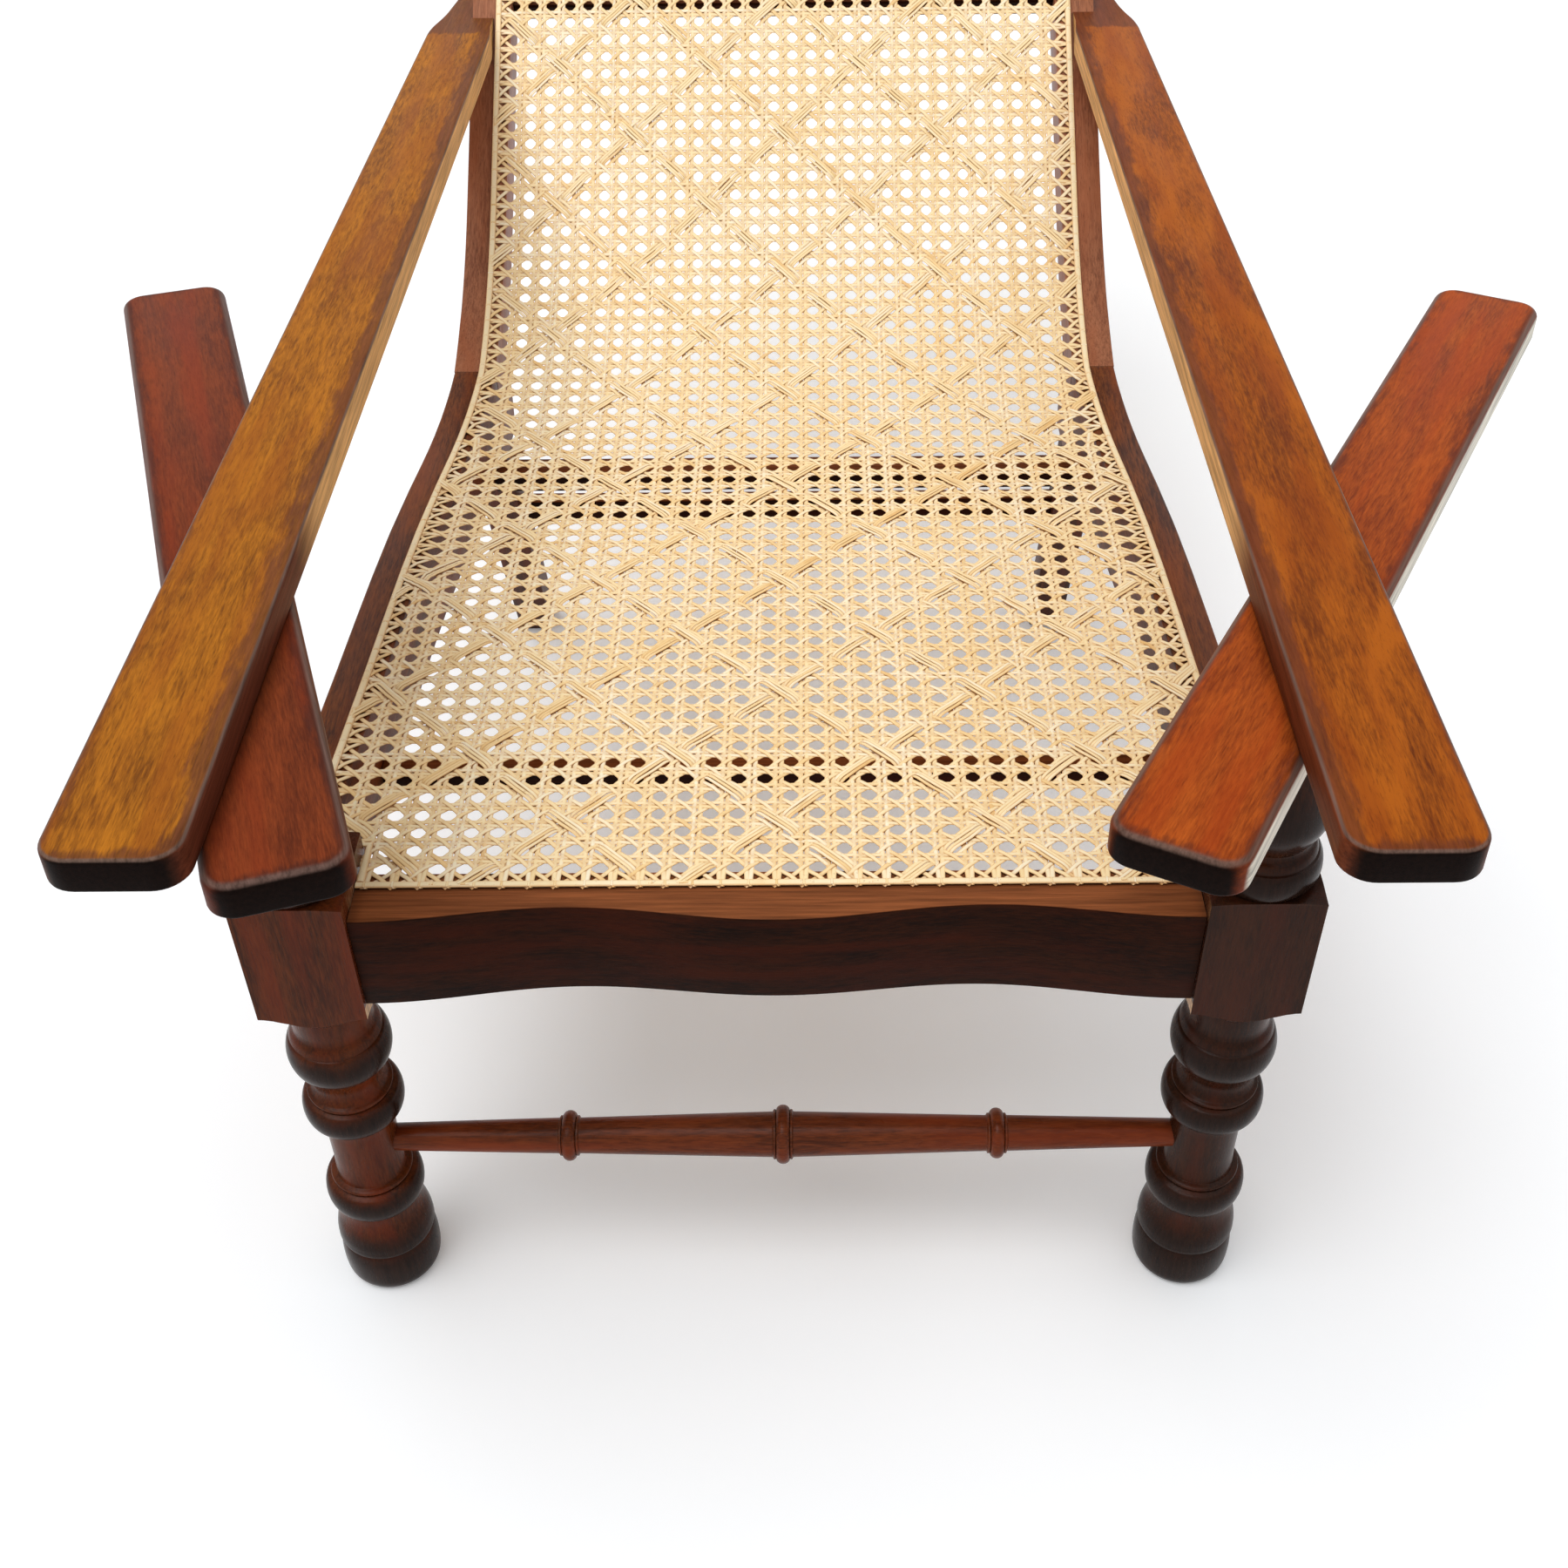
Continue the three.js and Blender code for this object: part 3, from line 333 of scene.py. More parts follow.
def make_grain_group():
    inputs = [("Vector", "Vector", None), ("Light", "Color", None), ("Dark", "Color", None),
              ("Red", "Color", None), ("Streaks", "Float", 0.6), ("Figure", "Float", 0.0),
              ("Pores", "Float", 0.5), ("Gloss", "Float", 0.4)]
    outputs = [("Color", "Color"), ("Roughness", "Float"), ("Height", "Float")]
    tree, given, wanted = group_of("wood_grain", inputs, outputs)
    vector = given["Vector"]
    slow = stretched_noise(tree, vector, SLOW_STRETCH, 3)
    streak = stretched_noise(tree, vector, STREAK_STRETCH, 4, 0.62)
    fibre = stretched_noise(tree, vector, FIBRE_STRETCH, 3, 0.6)
    pore = ramp(tree, stretched_noise(tree, vector, PORE_STRETCH, 2), *PORE_EDGES)
    figured = stretched_noise(tree, vector, FIGURE_STRETCH, 2, 0.4)
    bands = math_node(tree, "SINE", times(tree, figured, FIGURE_WAVES))
    bands = math_node(tree, "MULTIPLY_ADD", bands, 0.5, 0.5)
    bands = math_node(tree, "POWER", bands, FIGURE_POWER)
    tone = sway(tree, 0.0, streak, given["Streaks"])
    tone = sway(tree, tone, fibre, FIBRE_SHARE)
    tone = sway(tree, tone, slow, SLOW_SHARE)
    tone = math_node(tree, "MULTIPLY_ADD", bands, given["Figure"], tone)
    share = ramp(tree, math_node(tree, "ADD", tone, 0.5), *TONE_EDGES)
    colour = blend_colours(tree, share, given["Dark"], given["Light"])
    redness = ramp(tree, stretched_noise(tree, vector, RED_STRETCH, 2), *RED_EDGES)
    colour = blend_colours(tree, times(tree, redness, RED_SHARE), colour, given["Red"])
    pored = times(tree, pore, given["Pores"])
    tree.links.new(blend_colours(tree, pored, colour, PORE_COLOUR), wanted["Color"])
    rough = sway(tree, given["Gloss"], slow, GLOSS_SWAY)
    rough = math_node(tree, "MULTIPLY_ADD", pored, PORE_ROUGHNESS, rough)
    tree.links.new(rough, wanted["Roughness"])
    height = times(tree, streak, STREAK_HEIGHT)
    height = math_node(tree, "MULTIPLY_ADD", fibre, FIBRE_HEIGHT, height)
    tree.links.new(math_node(tree, "SUBTRACT", height, pored), wanted["Height"])
    return tree


GRAIN = make_grain_group()
print("made group", GRAIN.name)

# %% [markdown]
# Old furniture is rubbed along its edges. The second group finds edges by comparing the true
# surface direction with one rounded over a few millimetres. It also paints shade into the hollows:
# where ambient occlusion finds other surfaces close by, the colour is darkened. It works on any
# shape, and it needs no painted maps.

# %% Make the wear and painted shade group
EDGE_REACH = 3.5 * MM
EDGE_TURNS = (0.01, 0.18)
RUBBED_STRETCH = (38, 90, 90)
RUBBED_EDGES = (0.35, 0.68)
SHADE_REACH = 11 * MM
SHADE_EDGES = (0.18, 0.75)
SHADE_SHARE = 0.6


def occlusion_shade(tree, reach, samples, edges):
    node = add_node(tree, "ShaderNodeAmbientOcclusion", samples=samples)
    feed(tree, node, Distance=reach)
    return ramp(tree, inverse(tree, node.outputs["AO"]), *edges)


def make_wear_and_shade_group():
    inputs = [("Color", "Color", None), ("Rubbed", "Color", None), ("Rubbing", "Float", 0.35),
              ("Dirt", "Color", None), ("Vector", "Vector", None)]
    tree, given, wanted = group_of("wear_and_painted_shade", inputs, [("Color", "Color")])
    rounded = feed(tree, add_node(tree, "ShaderNodeBevel", samples=4), Radius=EDGE_REACH)
    true_way = add_node(tree, "ShaderNodeNewGeometry").outputs["Normal"]
    edge = ramp(tree, inverse(tree, dot(tree, rounded.outputs[0], true_way)), *EDGE_TURNS)
    patchy = stretched_noise(tree, given["Vector"], RUBBED_STRETCH, 4, 0.65)
    edge = times(tree, edge, ramp(tree, patchy, *RUBBED_EDGES))
    # Painted shade: where ambient occlusion finds surfaces close by, the colour is darkened.
    painted_shade = occlusion_shade(tree, SHADE_REACH, 6, SHADE_EDGES)
    rubbed = times(tree, edge, given["Rubbing"])
    colour = blend_colours(tree, rubbed, given["Color"], given["Rubbed"])
    colour = blend_colours(tree, times(tree, painted_shade, SHADE_SHARE), colour, given["Dirt"])
    tree.links.new(colour, wanted["Color"])
    return tree


WEAR_AND_SHADE = make_wear_and_shade_group()
print("made group", WEAR_AND_SHADE.name)

# %% [markdown]
# A colour picked off a screen isn't the number that a shader wants, because screens store light
# unevenly. The helper turns the familiar 0 to 255 values into the linear ones. A wood is then its
# three colours, the way its grain runs, and how strong each pattern is.
#
# Four kinds of tint lie over the grain. A board's outline is stained darker in an uneven line a
# few millimetres wide. A face that looks one way, such as a sawn end or a side, can have its own
# colour, over all its length or from one place on. The rounded rim between the top and the sides
# gets a painted sheen: it is tinted greyer, as a reflection of the light would make it. Marks come
# from attributes that a mesh brings with it. Each tint is broken up by the same kind of noise, so
# that none of them looks painted on.

# %% Define the tints that lie over the grain
OUTLINE_STRETCH = (30, 150, 150)
OUTLINE_SWAY = 22 * MM
TINT_STRETCH = (14, 420, 420)
TINT_GAIN = 2.2
TINT_BASE = -0.1
SHEEN_RISE = (0.4, 0.72)
SHEEN_FLAT = (0.8, 0.985)


def screen(red, green, blue):
    shares = [value / 255 for value in (red, green, blue)]
    linear = [s / 12.92 if s <= 0.04045 else ((s + 0.055) / 1.055) ** 2.4 for s in shares]
    return (*linear, 1.0)


def along_grain(tree, way):
    turn = Vector(way).rotation_difference(Vector((1, 0, 0))).to_euler()
    mapping = add_node(tree, "ShaderNodeMapping")
    return feed(tree, mapping, Vector=object_place(tree), Rotation=turn).outputs[0]


def place_y(tree):
    apart = add_node(tree, "ShaderNodeSeparateXYZ")
    return feed(tree, apart, _0=object_place(tree)).outputs["Y"]


def facing(tree, way, both=False):
    match = dot(tree, add_node(tree, "ShaderNodeTexCoord").outputs["Normal"], way)
    return math_node(tree, "ABSOLUTE", match) if both else match


# The band where the rounded rim turns from the top, which takes a painted sheen.
def painted_sheen(tree):
    upward = facing(tree, (0, 0, 1))
    return times(tree, ramp(tree, upward, *SHEEN_RISE), inverse(tree, ramp(tree, upward, *SHEEN_FLAT)))


def from_outline(tree, vector, board):
    """How far a point lies inside a board's outline, unevenly, as stain and wear do."""
    middle, way, half_width, front, back = board
    off = add_node(tree, "ShaderNodeVectorMath", operation="SUBTRACT")
    off = feed(tree, off, _0=object_place(tree), _1=middle).outputs[0]
    along = dot(tree, off, way)
    across = math_node(tree, "ABSOLUTE", dot(tree, off, (way[1], -way[0], 0)))
    inside = math_node(tree, "SUBTRACT", half_width, across)
    inside = math_node(tree, "MINIMUM", inside, math_node(tree, "ADD", along, front))
    inside = math_node(tree, "MINIMUM", inside, math_node(tree, "SUBTRACT", back, along))
    return sway(tree, inside, stretched_noise(tree, vector, OUTLINE_STRETCH, 4, 0.65), OUTLINE_SWAY)


def tinted(tree, share, colour, tint, vector):
    uneven = stretched_noise(tree, vector, TINT_STRETCH, 4, 0.65)
    tone = math_node(tree, "MULTIPLY_ADD", uneven, TINT_GAIN, TINT_BASE)
    shaded = blend_colours(tree, 1.0, screen(*tint), tone, "MULTIPLY")
    return blend_colours(tree, share, colour, shaded)


# %% [markdown]
# A wood material then stacks its layers: timber, stain along the outline, colour of single faces,
# a painted sheen on the rounded rim, rubbed edges with painted shade in the hollows, and the marks.
# The grain's height goes to a bump node, because the relief of a pore is too small for geometry.

# %% Define a wood material
STAIN_EDGES = (3 * MM, 10 * MM)
STAIN_SHARE = 0.7
SHEEN_SHARE = 0.8
# The colour of the painted shade in hollows.
SHADE_COLOUR = (22, 12, 9)
MARK_STRETCH = (30, 45, 45)
MARK_SWAY = 0.5
GRAIN_RELIEF = 0.4 * MM
GRAIN_STRENGTH = 0.35


def new_material(name):
    material = bpy.data.materials.new(name)
    material.use_nodes = True
    return material, material.node_tree, material.node_tree.nodes["Principled BSDF"]


def wood(name, way, light, dark, red, *, streaks, pores, gloss, specular, figure=0.0,
         rubbed=(120, 88, 70), rubbing=0.35, faces=(), marks=(), board=None, stain=None, sheen=None):
    """faces: (direction, both ways, ramp, colour, span of Y). marks: (attribute, ramp, colour).
    board: the outline that takes the stain. sheen: the colour of the painted sheen on the rounded
    rim."""
    material, tree, shader = new_material(name)
    vector = along_grain(tree, way)
    grain = add_node(tree, "ShaderNodeGroup", node_tree=GRAIN)
    feed(tree, grain, Vector=vector, Light=screen(*light), Dark=screen(*dark), Red=screen(*red),
         Streaks=streaks, Figure=figure, Pores=pores, Gloss=gloss)
    colour = grain.outputs["Color"]
    if board:
        edge = inverse(tree, ramp(tree, from_outline(tree, vector, board), *STAIN_EDGES))
        colour = tinted(tree, times(tree, edge, STAIN_SHARE), colour, stain, vector)
    for direction, both, edges, tint, *reach in faces:
        share = ramp(tree, facing(tree, direction, both), *edges)
        if reach:
            share = times(tree, share, ramp(tree, place_y(tree), *reach))
        colour = tinted(tree, share, colour, tint, vector)
    # Painted sheen: the rounded rim is tinted greyer, where a reflection would lie.
    if sheen:
        colour = tinted(tree, times(tree, painted_sheen(tree), SHEEN_SHARE), colour, sheen, vector)
    # Rubbed edges, then painted shade that darkens the hollows.
    wear_and_shade = add_node(tree, "ShaderNodeGroup", node_tree=WEAR_AND_SHADE)
    feed(tree, wear_and_shade, Color=colour, Rubbed=screen(*rubbed), Rubbing=rubbing,
         Dirt=screen(*SHADE_COLOUR), Vector=vector)
    colour = wear_and_shade.outputs["Color"]
    for attribute, edges, tint in marks:
        mark = add_node(tree, "ShaderNodeAttribute", attribute_name=attribute).outputs["Fac"]
        uneven = stretched_noise(tree, vector, MARK_STRETCH, 3)
        uneven = math_node(tree, "MULTIPLY_ADD", uneven, MARK_SWAY, mark)
        colour = tinted(tree, ramp(tree, uneven, *edges), colour, tint, vector)
    bump = add_node(tree, "ShaderNodeBump")
    feed(tree, bump, Strength=GRAIN_STRENGTH, Distance=GRAIN_RELIEF, Height=grain.outputs["Height"])
    feed(tree, shader, Base_Color=colour, Roughness=grain.outputs["Roughness"],
         Normal=bump.outputs[0])
    shader.inputs["Specular IOR Level"].default_value = specular
    return material


# %% [markdown]
# The arms are a golden, faded brown, the leg rests a red mahogany brown, and the frame is stained
# much darker. Left and right pieces aren't alike, because each board has its own age and its own
# light. The arms' sides are darker in front and bare towards the back, and all sawn ends are near
# black. The turned legs are blackened where they are thickest and redder in their hollows, so
# they also read how far each point stands off the axis, and their blocks show bare wood on the
# inner faces.

# %% Make the woods of the arms and the rests
ALONG = (0, 1, 0)
SIDEWAYS = (1, 0, 0)
UP = (0, 0, 1)
NEAR_BLACK = (19, 9, 6)
SIDE_EDGES = (0.35, 0.8)
BARE_EDGES = (0.5, 0.9)
END_EDGES = (0.4, 0.88)
FLAT_SIDE_EDGES = (0.88, 0.99)
ARM_MIDDLE = 296 * MM
ARM_STAIN = (ALONG, 33.5 * MM, 217 * MM, 900 * MM)
REST_ANGLES = {"left": math.radians(18.4), "right": math.radians(-27.8)}
REST_INSET = 3 * MM
REST_BACK = 437 * MM
REST_FRONT = 218 * MM
REST_STAIN = (34.7 * MM, REST_FRONT, REST_BACK)
BOARD_FINISH = {"rubbing": 0.0, "specular": 0.03}


def rest_way(side):
    return (-math.sin(REST_ANGLES[side]), math.cos(REST_ANGLES[side]), 0)


def rest_across(side):
    return (math.cos(REST_ANGLES[side]), math.sin(REST_ANGLES[side]), 0)


def outline_of(x, way, half_width, front, back):
    return (ORIGIN.x + x, ORIGIN.y, 0), way, half_width, front, back


def arm_faces(dark, bare, low, high):
    return [(SIDEWAYS, True, SIDE_EDGES, dark),
            (SIDEWAYS, True, BARE_EDGES, bare, ORIGIN.y + low * MM, ORIGIN.y + high * MM),
            (ALONG, True, END_EDGES, NEAR_BLACK)]


# The greyish rim colour of each board is a painted sheen on its rounded rim.
ARM_LEFT_WOOD = wood(
    "arm_wood_left", ALONG, (188, 116, 32), (114, 64, 22), (152, 82, 26),
    streaks=1.15, figure=0.1, pores=0.3, gloss=0.42, **BOARD_FINISH,
    board=outline_of(-ARM_MIDDLE, *ARM_STAIN), stain=(96, 54, 38), sheen=(108, 88, 78),
    faces=arm_faces((92, 46, 30), (200, 152, 98), 30, 110))
ARM_RIGHT_WOOD = wood(
    "arm_wood_right", ALONG, (174, 92, 24), (102, 47, 17), (140, 62, 18),
    streaks=1.0, figure=0.3, pores=0.3, gloss=0.42, **BOARD_FINISH,
    board=outline_of(ARM_MIDDLE, *ARM_STAIN), stain=(94, 48, 32), sheen=(108, 86, 76),
    faces=arm_faces((100, 48, 26), (200, 150, 96), 10, 90))
REST_LEFT_WOOD = wood(
    "rest_wood_left", rest_way("left"), (140, 65, 32), (88, 38, 20), (134, 50, 24),
    streaks=0.7, pores=0.2, gloss=0.38, **BOARD_FINISH,
    board=outline_of(REST_INSET - LEG_X, rest_way("left"), *REST_STAIN),
    stain=(70, 36, 28), sheen=(104, 82, 74),
    faces=[(rest_way("left"), True, END_EDGES, NEAR_BLACK)])
REST_RIGHT_WOOD = wood(
    "rest_wood_right", rest_way("right"), (184, 88, 30), (116, 46, 17), (166, 64, 20),
    streaks=0.8, pores=0.2, gloss=0.38, **BOARD_FINISH,
    board=outline_of(LEG_X - REST_INSET, rest_way("right"), *REST_STAIN),
    stain=(88, 42, 30), sheen=(106, 84, 74),
    faces=[(rest_way("right"), True, END_EDGES, NEAR_BLACK),
           # Painted reflection: the flat outer side, seen nearly edge-on, is tinted pale grey.
           (rest_across("right"), False, FLAT_SIDE_EDGES, (214, 206, 190))])
print("board woods:", ARM_LEFT_WOOD.name, ARM_RIGHT_WOOD.name, REST_LEFT_WOOD.name,
      REST_RIGHT_WOOD.name)

# %% [markdown]
# Under the seat the frame is nearly black. The front rail's upward faces are painted a warmer,
# lighter brown than its front, as light from above would make them, and the stiles are a faded
# purple-brown. The rear legs lean, and their grain leans with them.

# %% Make the woods of the frame
REAR_RAKE = math.radians(24)
BACK_WAY = (0, math.cos(BACK_ANGLE), math.sin(BACK_ANGLE))
REAR_WAY = (0, -math.sin(REAR_RAKE), math.cos(REAR_RAKE))
# Painted light: the rail's upward faces are tinted lighter than its front face.
RAIL_TOP_LIGHT = (UP, False, (0.6, 0.9), (126, 72, 40))
RAIL_WOOD = wood(
    "rail_wood", SIDEWAYS, (50, 21, 7), (20, 8, 4), (62, 20, 5), streaks=1.1, pores=0.3,
    gloss=0.4, specular=0.04, rubbed=(110, 78, 60), rubbing=0.15, faces=[RAIL_TOP_LIGHT])
SIDE_WOOD = wood(
    "side_rail_wood", ALONG, (128, 68, 28), (62, 30, 14), (128, 60, 22), streaks=1.2, pores=0.4,
    gloss=0.4, specular=0.12, rubbed=(130, 98, 78), rubbing=0.3)
STILE_WOOD, CREST_WOOD = (
    wood(name, way, (174, 113, 80), (114, 66, 46), (162, 92, 58), streaks=0.9, pores=0.4,
         gloss=0.42, specular=0.12, rubbed=(140, 110, 90), rubbing=0.3)
    for name, way in (("stile_wood", BACK_WAY), ("crest_wood", SIDEWAYS)))
LEG_MARKS = [("girth", (0.75, 1.3), (34, 20, 14)), ("bare", (0.8, 1.2), (196, 150, 104))]
LEG_WOODS = {
    side: wood(f"leg_wood_{side}", UP, *colours, streaks=1.0, pores=0.3, gloss=0.25,
               specular=0.09, rubbed=(100, 72, 56), rubbing=0.2, marks=LEG_MARKS)
    for side, colours in (("left", ((98, 46, 18), (50, 22, 9), (104, 36, 10))),
                          ("right", ((62, 31, 15), (31, 15, 8), (70, 27, 11))))
}
STRETCHER_WOOD = wood(
    "stretcher_wood", SIDEWAYS, (118, 56, 26), (62, 27, 12), (124, 48, 18), streaks=1.0,
    pores=0.3, gloss=0.28, specular=0.1, rubbed=(128, 98, 78), rubbing=0.2)
REAR_WOOD = wood(
    "rear_leg_wood", REAR_WAY, (92, 48, 28), (42, 20, 11), (104, 42, 20), streaks=0.9,
    pores=0.5, gloss=0.45, specular=0.12)
print("woods:", sum(1 for m in bpy.data.materials if "wood" in m.name))

# %% [markdown]
# ## Shaping helpers
# Most pieces are boards: an outline, pushed to a thickness, with its edges rounded over. They
# start as one flat face, because a face can have its corners rounded and then be extruded whole.
# Bevel modifiers could do the rounding later, but the operator can take some edges and leave
# others, as a joiner does.

# %% Define how boards are shaped
BODY = "chair_frame"
SIDES = (("left", -1), ("right", 1))
X, Y, Z = range(3)
CREASE = math.radians(33)
SHARP = math.radians(30)
EASE_STEPS = 4
CORNER_STEPS = 9
CUT_TOLERANCE = 1e-7
WELD = 1e-6


def flat_face(points):
    shape = bmesh.new()
    shape.faces.new([shape.verts.new(point) for point in points])
    return shape


def thicken(shape, way):
    grown = bmesh.ops.extrude_face_region(shape, geom=shape.faces[:])["geom"]
    moved = [item for item in grown if isinstance(item, bmesh.types.BMVert)]
    bmesh.ops.translate(shape, verts=moved, vec=way)
    bmesh.ops.recalc_face_normals(shape, faces=shape.faces)
    return shape


def run(edge, axis):
    """How far an edge runs along one axis."""
    return abs(edge.verts[0].co[axis] - edge.verts[1].co[axis])


def far_end(edge, axis):
    return max(vert.co[axis] for vert in edge.verts)


def sharp_edges(shape):
    return [edge for edge in shape.edges
            if len(edge.link_faces) == 2 and edge.calc_face_angle() > SHARP]


def ease(shape, radius, keep=lambda edge: True, steps=EASE_STEPS):
    edges = [edge for edge in sharp_edges(shape) if keep(edge)]
    bmesh.ops.bevel(shape, geom=edges, offset=radius, affect="EDGES", segments=steps, profile=0.5,
                    material=-1, clamp_overlap=True)
    return shape


def round_corners(shape, verts, radius):
    bmesh.ops.bevel(shape, geom=verts, offset=radius, affect="VERTICES", segments=CORNER_STEPS,
                    profile=0.5, material=-1, clamp_overlap=True)


def slice_at(shape, place, way, **options):
    everything = shape.verts[:] + shape.edges[:] + shape.faces[:]
    cut = bmesh.ops.bisect_plane(shape, geom=everything, dist=CUT_TOLERANCE, plane_co=place,
                                 plane_no=way, **options)
    return cut["geom_cut"]


def block(low, high):
    shape = bmesh.new()
    middle = (Vector(low) + Vector(high)) / 2
    size = Vector(high) - Vector(low)
    place = Matrix.Translation(middle) @ Matrix.Diagonal((*size, 1))
    bmesh.ops.create_cube(shape, size=1, matrix=place)
    return shape


# %% [markdown]
# The next helpers hand a finished shape to the frame: it rides on its body, takes its finish and
# stands for its plain solid. Each piece also says how many faces it has and whether any edge is
# open, because an open or doubled edge shows as a flaw only later.

# %% Define how a piece joins the frame


def open_edges(mesh):
    check = bmesh.new()
    check.from_mesh(mesh)
    count = sum(1 for edge in check.edges if len(edge.link_faces) != 2)
    check.free()
    return count


def as_mesh(name, shape):
    mesh = bpy.data.meshes.new(name)
    shape.to_mesh(mesh)
    shape.free()
    return mesh


def fit(name, mesh, material, slot, *nodes, body=BODY, crease=CREASE):
    mesh.transform(TO_FRAME)
    mesh.materials.clear()
    mesh.materials.append(material)
    mesh.shade_smooth()
    mesh.set_sharp_from_angle(angle=crease)
    piece = place_object(name, mesh)
    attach(piece, body)
    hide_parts(*nodes)
    print(f"{name}: {len(mesh.polygons)} faces, {open_edges(mesh)} open edges")
    return piece


# %% [markdown]
# Round work is spun from a profile, as on a lathe, and closed on its axis. Where a square meets a
# turning, or a hole goes through, one mesh cuts or joins another with a Boolean modifier, whose
# result is kept as a plain mesh.

# %% Define how a shape is spun and cut


def turned(profile, sides):
    shape = bmesh.new()
    points = [(0, profile[0][1]), *profile, (0, profile[-1][1])]
    chain = [shape.verts.new((radius, 0, height)) for radius, height in points]
    for first, second in zip(chain, chain[1:]):
        shape.edges.new((first, second))
    bmesh.ops.spin(shape, geom=shape.verts[:] + shape.edges[:], cent=(0, 0, 0), axis=(0, 0, 1),
                   angle=2 * math.pi, steps=sides, use_merge=True)
    bmesh.ops.remove_doubles(shape, verts=shape.verts, dist=WELD)
    bmesh.ops.recalc_face_normals(shape, faces=shape.faces)
    return shape


def evaluated_mesh(item):
    graph = bpy.context.evaluated_depsgraph_get()
    return bpy.data.meshes.new_from_object(item.evaluated_get(graph))


def boolean(mesh, cutter, operation):
    body = place_object("work", mesh)
    tool = place_object("cutter", cutter)
    modifier = body.modifiers.new("cut", "BOOLEAN")
    modifier.operation = operation
    modifier.solver = "EXACT"
    modifier.object = tool
    result = evaluated_mesh(body)
    for item in (body, tool):
        bpy.data.objects.remove(item)
    return result


# %% [markdown]
# ## The front legs
# Each leg is one piece of timber: turned below, left square where the rails meet it, and turned
# again up to the arm. The turning is drawn as a chain of radius and height, as a turner would
# read it off a stick, and spun into a solid. A curve with a Screw modifier would do as well, but
# the chain keeps each bead and hollow on a line of its own. Beads are arcs, and the crisp lines
# between them are short steps.

# %% Write the leg's turning
TURN_SIDES = 72
BEAD_STEPS = 12
BLOCK_LOW = 302
BLOCK_HIGH = 398
TENON_RADIUS = 27
RAIL_LOW = 311.5 * MM
ARM_TOP = 608.5 * MM
ARM_SLOPE = math.radians(2.69)
ARM_THICK = 20 * MM
REST_THICK = 21 * MM
POST_TOP_DROP = ARM_THICK + REST_THICK + 2 * FIT


def bead(low, high, low_radius, high_radius, crown, steps=BEAD_STEPS):
    for step in range(steps + 1):
        turn = math.pi * step / steps
        share = (1 - math.cos(turn)) / 2
        base = low_radius + (high_radius - low_radius) * share
        yield base + (crown - base) * math.sin(turn), low + (high - low) * share


def curve_through(knots, steps):
    guarded = [knots[0], *knots, knots[-1]]
    for span in range(len(knots) - 1):
        for step in range(steps):
            yield tuple(through(*[Vector(knot) for knot in guarded[span:span + 4]], step / steps))
    yield tuple(knots[-1])


def in_metres(chain):
    return [(radius * MM, height * MM) for radius, height in chain]


LOWER_TURNING = in_metres([
    *curve_through([(27, 0), (31.5, 1.4), (34.2, 6.5), (35, 16), (34.7, 27), (33.2, 35.5),
                    (31.4, 38.8)], 4),
    (31.2, 39.4), (32.6, 39.9), (34.3, 41.2), (34.6, 42.8),
    *curve_through([(34.4, 45), (34.1, 50), (32.6, 57.5), (30.4, 65), (29.1, 72),
                    (28.8, 79)], 4),
    (28.8, 81.4),
    *bead(82, 105.4, 30, 30, 34.5),
    (28.9, 106.2), (26.9, 106.8),
    *bead(107.2, 111.2, 26.6, 26, 28.6, 6),
    (24.6, 111.8), (24, 114), (23.4, 130), (23.4, 160), (23.9, 173),
    (24.4, 174.4),
    *bead(174.8, 197.2, 29.4, 30, 34.3),
    (29, 197.8), (27.6, 198.2),
    *bead(198.6, 202.4, 27.6, 26.6, 28.9, 6),
    *curve_through([(25.6, 203.4), (23.6, 207), (23.1, 211.5), (24, 217), (26.6, 223.5),
                    (28.4, 226)], 4),
    *curve_through([(28.9, 226.6), (32.4, 231), (34.4, 238.5), (34.3, 246), (32.6, 252.4),
                    (31.3, 254.6)], 5),
    (30.2, 255.2), (29.8, 256.6), (30.6, 257),
    *curve_through([(30.4, 257.6), (29.2, 261), (27.4, 263.6), (26.6, 265)], 3),
    (26.4, 270), (TENON_RADIUS, 276), (TENON_RADIUS, BLOCK_LOW),
])
print("lower turning:", len(LOWER_TURNING), "points")

# %% [markdown]
# Above the block come a wide bead with a scored line, a dark vase and a collar under the leg
# rest. The square block keeps the shallow cones that the lathe tool left where square meets
# round: it is a square bar cut by a turned shape, just as on the lathe.

# %% Define the upper turning and the square block
COLLAR_LOW = 535.6
COLLAR_HIGH = 547.6
UPPER_TURNING = in_metres([
    (TENON_RADIUS, BLOCK_HIGH - 6), (31.6, BLOCK_HIGH - 3),
    *curve_through([(32.4, 397.6), (34.6, 402), (35.5, 408), (34.6, 414.5), (32.4, 418.6)], 5),
    (31, 419), (30.6, 420), (31.2, 420.4),
    *curve_through([(31, 421), (29.6, 424), (27.2, 426), (26.2, 428.5)], 3),
    *curve_through([(26.4, 430), (30.4, 437), (34.5, 450), (32.6, 470), (27.2, 496), (22.2, 518),
                    (20, 533)], 5),
    *bead(COLLAR_LOW, COLLAR_HIGH, 20.5, 20.5, 25.5, 10),
    (20, 548.4), (20, 600),
])
POMMEL_SHARES = [0, 0.25, 0.5, 0.72, 0.88, 1]
POMMEL_DROP = 17 * MM
SQUARE_LOW = 280 * MM
SQUARE_HIGH = 399.5 * MM
BLOCK_EASE = 1.2 * MM


